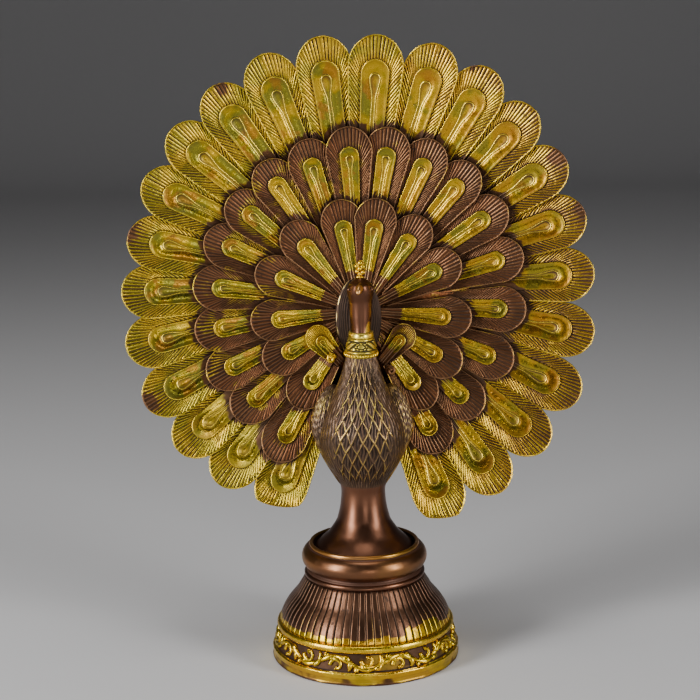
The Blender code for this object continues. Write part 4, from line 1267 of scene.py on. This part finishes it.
def makeCrest():
    v = crest
    forward = outlineAt(v["forwardAt"])[2]
    foot = bird["footAt"] + bird["height"] * v["from"]
    turn = np.linspace(0, math.tau, 24, endpoint=False)
    rings = []
    for share in np.linspace(-0.15, 1, 12):
        spread = 0.20 + 0.24 * max(share, 0.0)
        x, y = v["width"] * spread * np.cos(turn), v["thickness"] / 2 * np.sin(turn) - forward
        rings.append(levelRing(x, y, foot + (v["height"] - v["stalkShort"]) * share))
    points = np.vstack(rings)
    faces = tubeFaces(len(rings), len(turn))
    pieces = [makeMesh("stalk", points, faces, plainAttributes(len(points), gilt=0.55, groove=0.3))]
    top = v["height"] - v["beadRadius"] * 1.5
    for across, rise in v["spots"]:
        radius = v["beadRadius"] * (0.75 + 0.25 * rise)
        place = (v["width"] * across, -forward - v["beadForward"], foot + top * rise)
        ball = ballMesh("crest_bead", radius, squash=(1.0, 1.1, 1.0), segments=14)
        ball.data.transform(Matrix.Translation(place))
        pieces.append(ball)
    made = joinPieces("crest", pieces)
    settle(made, "peacock", giltTrim)


makeCrest()


# Tapered tubes make the scroll bosses and the relief on the base's band

def taperedTube(path, radii, sides=8):
    # A closed tube of changing radius along a path in space
    path = np.asarray(path, float)
    along = np.gradient(path, axis=0)
    along /= np.linalg.norm(along, axis=1)[:, None]
    up = np.array([0.0, -1.0, 0.0])
    points = []
    for centre, forward, radius in zip(path, along, radii):
        side = np.cross(forward, up)
        side /= max(np.linalg.norm(side), 1e-9)
        over = np.cross(side, forward)
        for k in range(sides):
            angle = math.tau * k / sides
            points.append(centre + radius * (math.cos(angle) * side + math.sin(angle) * over))
    return np.array(points), tubeFaces(len(path), sides)


scrollBoss = {"coil": 0.0021, "thickness": 0.00085, "turns": 1.4, "standOut": 0.0030,
              "places": ((-1.0, 0.0142, 0.0255, 0.9), (1.0, 0.0140, 0.0320, 0.25))}


def makeScrollBosses():
    # Each place is the side, how far out, how far below the hub, and how much gilding is left
    v = scrollBoss
    for (side, out, down, left), word in zip(v["places"], ("left", "right")):
        t = np.linspace(0, 1, 44)
        angle = math.tau * v["turns"] * t + 0.6
        radius = v["coil"] * (0.20 + 0.80 * t)
        x = side * (out + radius * np.cos(angle))
        z = fan["hubHeight"] - down + radius * np.sin(angle)
        y = -v["standOut"] * (1 - 0.45 * t)
        thick = v["thickness"] * (0.85 + 0.45 * np.sin(math.pi * t))
        points, faces = taperedTube(np.column_stack([x, y, z]), thick, 10)
        attributes = plainAttributes(len(points), gilt=left, ridge=0.3, warmth=0.65)
        coil = makeMesh("coil", points, faces, attributes)
        knob = ballMesh("knob", v["coil"] * 0.95, squash=(1.0, 1.5, 1.0), segments=16, gilt=0.1)
        knob.data.transform(Matrix.Translation((side * out, 0.0006, fan["hubHeight"] - down)))
        settle(joinPieces(f"scroll_boss_{word}", [coil, knob]), "peacock", giltTrim)


makeScrollBosses()


# Base: turned mouldings, ribs laid on the bell, and the scroll relief on its band

base = {
    "columns": 264, "radius": 0.0462, "edge": 0.0008, "bottomRing": 0.0062, "band": 0.0088,
    "recess": 0.0012, "bandBehind": 0.0009, "bandInset": 0.0022, "bandEdge": 0.0009, "giltRing": 0.0036,
    "giltRingRadius": 0.0430, "fluteHeight": 0.0224, "fluteFoot": 0.0424, "fluteTop": 0.0290,
    "bead": 0.0026, "beadRadius": 0.0297, "beadRound": 0.0012, "groove": 0.0008, "grooveDepth": 0.0013,
    "torus": 0.0120, "torusRadius": 0.0308, "lip": 0.0014, "lipRadius": 0.0270, "lipRound": 0.0011,
    "well": 0.0036, "wellRadius": 0.0250, "ribs": 66, "ribRise": 0.00034, "ribFill": 0.92,
    "ribRoot": 0.0022, "ribEdge": 0.9, "ribShoulder": 0.7,
}
bandAt = base["bottomRing"]
giltRingAt = bandAt + base["band"]
fluteAt = giltRingAt + base["giltRing"]
beadAt = fluteAt + base["fluteHeight"]
grooveAt = beadAt + base["bead"]
torusAt = grooveAt + base["groove"]
lipAt = torusAt + base["torus"]
rimAt = lipAt + base["lip"]
bandTopRadius = base["giltRingRadius"] - base["bandBehind"]
bandFootRadius = base["radius"] - base["recess"] - base["bandBehind"]


def bellRadius(share):
    drop = base["fluteFoot"] - base["fluteTop"]
    return base["fluteFoot"] - drop * share + 0.10 * drop * np.sin(math.pi * np.minimum(1.0, share * 1.6))


def arcPoints(centre, across, up, first, last, steps):
    turn = np.radians(np.linspace(first, last, steps))
    return [(centre[0] + across * math.cos(t), centre[1] + up * math.sin(t)) for t in turn]


def mouldings():
    # The turned outline from the well down to the underside, as (radius, height, gilt, groove, ridge)
    v = base
    outline = []

    def run(points, gilt=0.0, groove=0.0, ridge=0.0):
        outline.extend((x, z, gilt, groove, ridge) for x, z in points)

    run([(0.0, rimAt - v["well"]), (v["wellRadius"], rimAt - v["well"])], groove=0.8)
    run([(v["wellRadius"], rimAt - 0.0010)], groove=0.7)
    lipMiddle = (v["wellRadius"] + v["lipRadius"]) / 2
    lipHalf = v["lipRadius"] - lipMiddle
    run(arcPoints((lipMiddle, rimAt - v["lipRound"]), lipHalf, v["lipRound"], 165, -35, 12),
        gilt=0.56, ridge=0.05)
    run([(v["lipRadius"] - 0.0001, lipAt - 0.0002), (v["lipRadius"] + 0.0001, lipAt - 0.0006)], groove=0.85)
    torusHalf = v["torus"] / 2
    core = v["torusRadius"] - torusHalf
    run(arcPoints((core, torusAt + torusHalf), torusHalf, torusHalf, 58, -74, 26), gilt=0.44)
    grooveRadius = v["beadRadius"] - v["grooveDepth"]
    run([(core + 0.0011, torusAt + 0.0001), (grooveRadius, torusAt)], groove=0.7)
    run([(grooveRadius, grooveAt + 0.0002)], groove=0.8)
    beadMiddle = (v["beadRadius"] - v["beadRound"], beadAt + v["bead"] / 2)
    run(arcPoints(beadMiddle, v["beadRound"], v["bead"] / 2, 84, -84, 14), gilt=0.18, ridge=0.1)
    steps = np.linspace(1, 0, 22)
    run([(float(bellRadius(s)) - 0.0011, beadAt - v["fluteHeight"] * (1 - s)) for s in steps], groove=0.75)
    ringMiddle = giltRingAt + v["giltRing"] / 2
    run(arcPoints((v["giltRingRadius"] - 0.0006, ringMiddle), 0.0013, v["giltRing"] / 2, 88, -80, 16),
        gilt=0.98, ridge=0.25)
    out, fall = bandFootRadius - bandTopRadius, v["band"] - 0.0004
    bandPoints = [(bandTopRadius + out * s, giltRingAt - 0.0002 - fall * s) for s in np.linspace(0, 1, 14)]
    run(bandPoints[:1], groove=0.95)
    run(bandPoints[1:-1], gilt=0.62, groove=0.62)
    run(bandPoints[-1:], groove=0.95)
    e = v["edge"]
    run(arcPoints((v["radius"] - e, bandAt - e), e, e, 90, 0, 7), gilt=1.0, ridge=0.30)
    # Down the bottom ring's face the gilding thins and the groove grows: painted shade, darker towards the
    # foot
    run([(v["radius"] - 0.00015, bandAt * s) for s in (0.78, 0.70, 0.62)], gilt=0.95, groove=0.15)
    run([(v["radius"] - 0.00035, bandAt * s) for s in (0.52, 0.45, 0.38, 0.28, 0.20)], gilt=0.80, groove=0.38)
    run(arcPoints((v["radius"] - e, e), e, e, 0, -90, 7), gilt=0.45, groove=0.35)
    run([(0.0, 0.0)], groove=0.4)
    return np.array(outline)


def makeMouldings():
    rows = mouldings()
    turn = np.linspace(0, math.tau, base["columns"], endpoint=False)
    random = np.random.default_rng(41)
    points, marks = [], {"gilt": [], "groove": [], "ridge": []}
    # The bottom ring is hand dressed: it wavers a little
    waver = sum(random.uniform(0.00002, 0.00009) * np.sin(turn * n + random.uniform(0, math.tau))
                for n in range(3, 14))
    for radius, height, *values in rows:
        low = 1.0 if height < bandAt and radius > 0.02 else 0.0
        wavered = np.maximum(radius - low * np.abs(waver), 0.0)
        points.append(levelRing(wavered * np.cos(turn), wavered * np.sin(turn), height))
        for key, value in zip(marks, values):
            marks[key].append(np.full_like(turn, value))
    points = np.vstack(points)
    points[points[:, 2] < 0, 2] = 0.0
    attributes = ringAttributes(0.85, **marks)
    # The foot's lower edge darkens in uneven spots, more towards the bottom: partly dirt, partly painted
    # shade
    low = points[:, 2] < bandAt * 0.75
    place = np.arctan2(points[:, 1], points[:, 0])
    spots = np.sin(place * 61) * np.sin(place * 37 + 1) + 0.5 * np.sin(place * 113 + points[:, 2] * 2500)
    dirtAndShade = 0.55 * smoothStep(spots - 1.6 * points[:, 2] / bandAt, -0.6, 1.2)
    attributes["groove"] = np.where(low, np.maximum(attributes["groove"], 0.9 * dirtAndShade), attributes["groove"])
    made = makeMesh("base_mouldings", points, gridFaces(len(rows), base["columns"]), attributes)
    made.data.materials.append(giltTrim)
    made.data.materials.append(polishedBronze)
    for face in made.data.polygons:
        face.material_index = 0 if face.center.z < fluteAt + 0.0001 else 1
    settle(made, "base")


def makeRibs():
    v = base
    across, along = 11, 26
    shares = np.linspace(0.004, 0.996, along)
    points, groove, ridge = [], [], []
    for share in shares:
        radius = float(bellRadius(share))
        halfWidth = math.pi * radius / v["ribs"] * v["ribFill"]
        ends = min(1.0, (share + 0.02) / 0.05, (1.02 - share) / 0.05)
        for k in range(across):
            side = 2 * k / (across - 1) - 1
            crown = (1 - abs(side) ** 9.0) * ends
            out = radius - v["ribRise"] * (1.15 - crown)
            points.append((out, side * halfWidth, fluteAt + v["fluteHeight"] * share))
            # Each rib's edges are darkened, and a painted highlight runs along its shoulders beside them
            groove.append(0.95 if abs(side) > v["ribEdge"] else 0.0)
            ridge.append(0.45 if v["ribShoulder"] < abs(side) < v["ribEdge"] else 0.0)
    front = len(points)
    for share in shares:
        radius = float(bellRadius(share)) - v["ribRoot"]
        for side in (-1.0, 1.0):
            points.append((radius, side * math.pi * radius / v["ribs"] * v["ribFill"],
                           fluteAt + v["fluteHeight"] * share))
            groove.append(1.0)
            ridge.append(0.0)
    faces = gridFaces(along, across, wrap=False)
    for i in range(along - 1):
        a, b = front + 2 * i, front + 2 * i + 2
        faces.append((a, a + 1, b + 1, b))
        faces.append((i * across, a, b, (i + 1) * across))
        faces.append((i * across + across - 1, (i + 1) * across + across - 1, b + 1, a + 1))
    faces.append(tuple(range(across)) + (front + 1, front))
    last = (along - 1) * across
    faces.append(tuple(range(last, last + across)) + (front + 2 * along - 1, front + 2 * along - 2))
    zero = np.zeros(len(points))
    rib = makeMesh("base_ribs", points, faces, {"groove": groove, "ridge": ridge, "gilt": zero, "eye": zero})
    bakeNodes(rib, copiesRound, {"Count": v["ribs"], "Finish": flutedBronze})
    # Gilding has run over the ribs' lower ends, higher on the right
    mesh = rib.data
    place = readPoints(mesh)
    turn = np.degrees(np.arctan2(place[:, 1], place[:, 0]))
    number = np.round(turn / 360 * v["ribs"]).astype(int) % v["ribs"]
    reach = np.random.default_rng(43).uniform(0.3, 1.0, v["ribs"])[number]
    right = np.exp(-((turn + 48) / 26) ** 2)
    height = (place[:, 2] - fluteAt) / v["fluteHeight"]
    top = 0.05 + 0.07 * reach + 0.20 * right * reach
    gilt = 1 - smoothStep(height, top, top + 0.05)
    writeAttribute(mesh, "gilt", 0.06 + 0.94 * gilt)
    writeAttribute(mesh, "warmth", np.full(len(place), 0.8))
    settle(rib, "base")


bandScroll = {"motifs": 9, "swing": 0.0027, "stem": 0.00120, "coil": 0.0025, "leaf": 0.0046, "sides": 8}


def makeBandScroll():
    v = bandScroll
    bandRadius = base["radius"] - base["bandInset"]
    length = math.tau * bandRadius / v["motifs"]
    middle = base["band"] / 2
    strokes = []
    t = np.linspace(0, 1, 30)
    strokes.append((np.column_stack([length * t, middle + v["swing"] * np.sin(math.tau * t)]),
                    v["stem"] * (1 + 0.25 * np.sin(math.tau * 3 * t))))
    for start, flip in ((0.0, 1.0), (0.5, -1.0)):
        # A tendril leaves the stem and coils up inside its bend
        t = np.linspace(0, 1, 34)
        centre = (length * (start + 0.27), middle - flip * v["swing"] * 0.50)
        angle = flip * (math.pi * 1.00 - math.tau * 0.80 * t)
        radius = v["coil"] * (1.32 - 0.80 * t)
        curl = np.column_stack([centre[0] + radius * np.cos(angle), centre[1] + radius * np.sin(angle)])
        strokes.append((curl, v["stem"] * (0.95 - 0.35 * t + 0.55 * smoothStep(t, 0.9, 1.0))))
        for lean, reach, at in ((0.4, 1.0, 0.36), (2.6, 0.9, 0.12), (-0.7, 1.0, 0.46), (-1.4, 0.55, 0.20)):
            # Pointed leaves stand off the stem
            t2 = np.linspace(0, 1, 9)
            root = (length * (start + at), middle + flip * v["swing"] * math.sin(math.tau * at))
            bend = lean - 0.9 * t2
            x = root[0] + v["leaf"] * reach * t2 * np.cos(bend)
            z = root[1] + flip * v["leaf"] * reach * t2 * np.sin(bend)
            strokes.append((np.column_stack([x, z]), v["stem"] * (0.35 + 0.85 * np.sin(math.pi * t2 ** 0.7))))
    allPoints, allFaces = [], []
    for line, radii in strokes:
        height = np.clip(line[:, 1], base["bandEdge"], base["band"] - base["bandEdge"])
        flat = np.column_stack([line[:, 0], np.zeros(len(line)), height])
        points, faces = taperedTube(flat, radii, v["sides"])
        # Bend the flat strokes round the band; the tubes' own depth becomes height over its surface
        wall = bandFootRadius + (bandTopRadius - bandFootRadius) * points[:, 2] / base["band"]
        out = wall - points[:, 1] * 1.1 + 0.0001
        angle = points[:, 0] / bandRadius
        bent = np.column_stack([out * np.cos(angle), out * np.sin(angle), bandAt + points[:, 2]])
        shift = len(allPoints)
        allPoints.extend(bent.tolist())
        allFaces.extend(tuple(i + shift for i in face) for face in faces)
    attributes = plainAttributes(len(allPoints), gilt=0.92, ridge=0.12, warmth=0.75)
    made = makeMesh("base_scroll", allPoints, allFaces, attributes)
    bakeNodes(made, copiesRound, {"Count": v["motifs"], "Finish": giltTrim})
    settle(made, "base")


makeMouldings()
makeRibs()
makeBandScroll()
print("base made")


# Floor, light and camera

stage = {
    "width": 12.0, "front": 4.0, "back": 2.2, "sweep": 1.6, "wall": 5.0, "floorColour": (0.66, 0.65, 0.65, 1),
    "worldColour": (0.80, 0.80, 0.84, 1), "worldLight": 0.05, "aim": (0.0, 0.0, 0.16), "lens": 85.0,
    "viewFrom": (-0.0053, -0.7788, 0.3115), "lookDown": 11.5, "roll": -1.0,
}
# Two tall soft boxes at the sides, weak ones above and in front: place, width, height, power
softBoxes = {
    "left box": ((-0.88, -0.60, 0.43), 0.26, 0.86, 15.5),
    "right box": ((0.88, -0.60, 0.40), 0.22, 0.80, 8.5),
    "top box": ((0.0, -0.15, 1.25), 0.50, 0.40, 2.6),
    "front box": ((0.16, -1.06, 0.12), 0.22, 0.22, 1.1),
}


def makeStage():
    # A pale floor that sweeps up into a wall behind the piece
    v = stage
    turn = np.radians(np.linspace(0, 90, 25))
    sweep = [(v["back"] + v["sweep"] * math.sin(t), v["sweep"] * (1 - math.cos(t))) for t in turn]
    line = [(-v["front"], 0.0)] + sweep + [(v["back"] + v["sweep"], v["wall"])]
    points = [(side * v["width"] / 2, y, z) for y, z in line for side in (-1, 1)]
    mesh = bpy.data.meshes.new("floor")
    mesh.from_pydata(points, [], gridFaces(len(line), 2, wrap=False))
    mesh.shade_smooth()
    floor = linkObject("floor", mesh)
    paint = bpy.data.materials.new("pale floor")
    paint.use_nodes = True
    shader = paint.node_tree.nodes["Principled BSDF"]
    shader.inputs["Base Color"].default_value = v["floorColour"]
    shader.inputs["Roughness"].default_value = 0.8
    floor.data.materials.append(paint)

    world = bpy.data.worlds.new("studio")
    bpy.context.scene.world = world
    world.use_nodes = True
    world.node_tree.nodes["Background"].inputs[0].default_value = v["worldColour"]
    world.node_tree.nodes["Background"].inputs[1].default_value = v["worldLight"]

    for name, (place, width, height, power) in softBoxes.items():
        light = bpy.data.lights.new(name, "AREA")
        light.shape = "RECTANGLE"
        light.size = width
        light.size_y = height
        light.energy = power
        lamp = linkObject(name, light)
        lamp.location = place
        lamp.rotation_euler = (Vector(v["aim"]) - Vector(place)).to_track_quat("-Z", "Y").to_euler()

    # The photograph's view: a long lens a little above the fan's middle, rolled by a degree
    camera = bpy.data.cameras.new("camera")
    camera.lens = v["lens"]
    camera.sensor_width = 36.0
    camera.sensor_fit = "HORIZONTAL"
    viewer = linkObject("camera", camera)
    viewer.matrix_world = (Matrix.Translation(v["viewFrom"])
                           @ Matrix.Rotation(math.radians(90.0 - v["lookDown"]), 4, "X")
                           @ Matrix.Rotation(math.radians(v["roll"]), 4, "Z"))
    bpy.context.scene.camera = viewer


makeStage()

print("all pieces made")
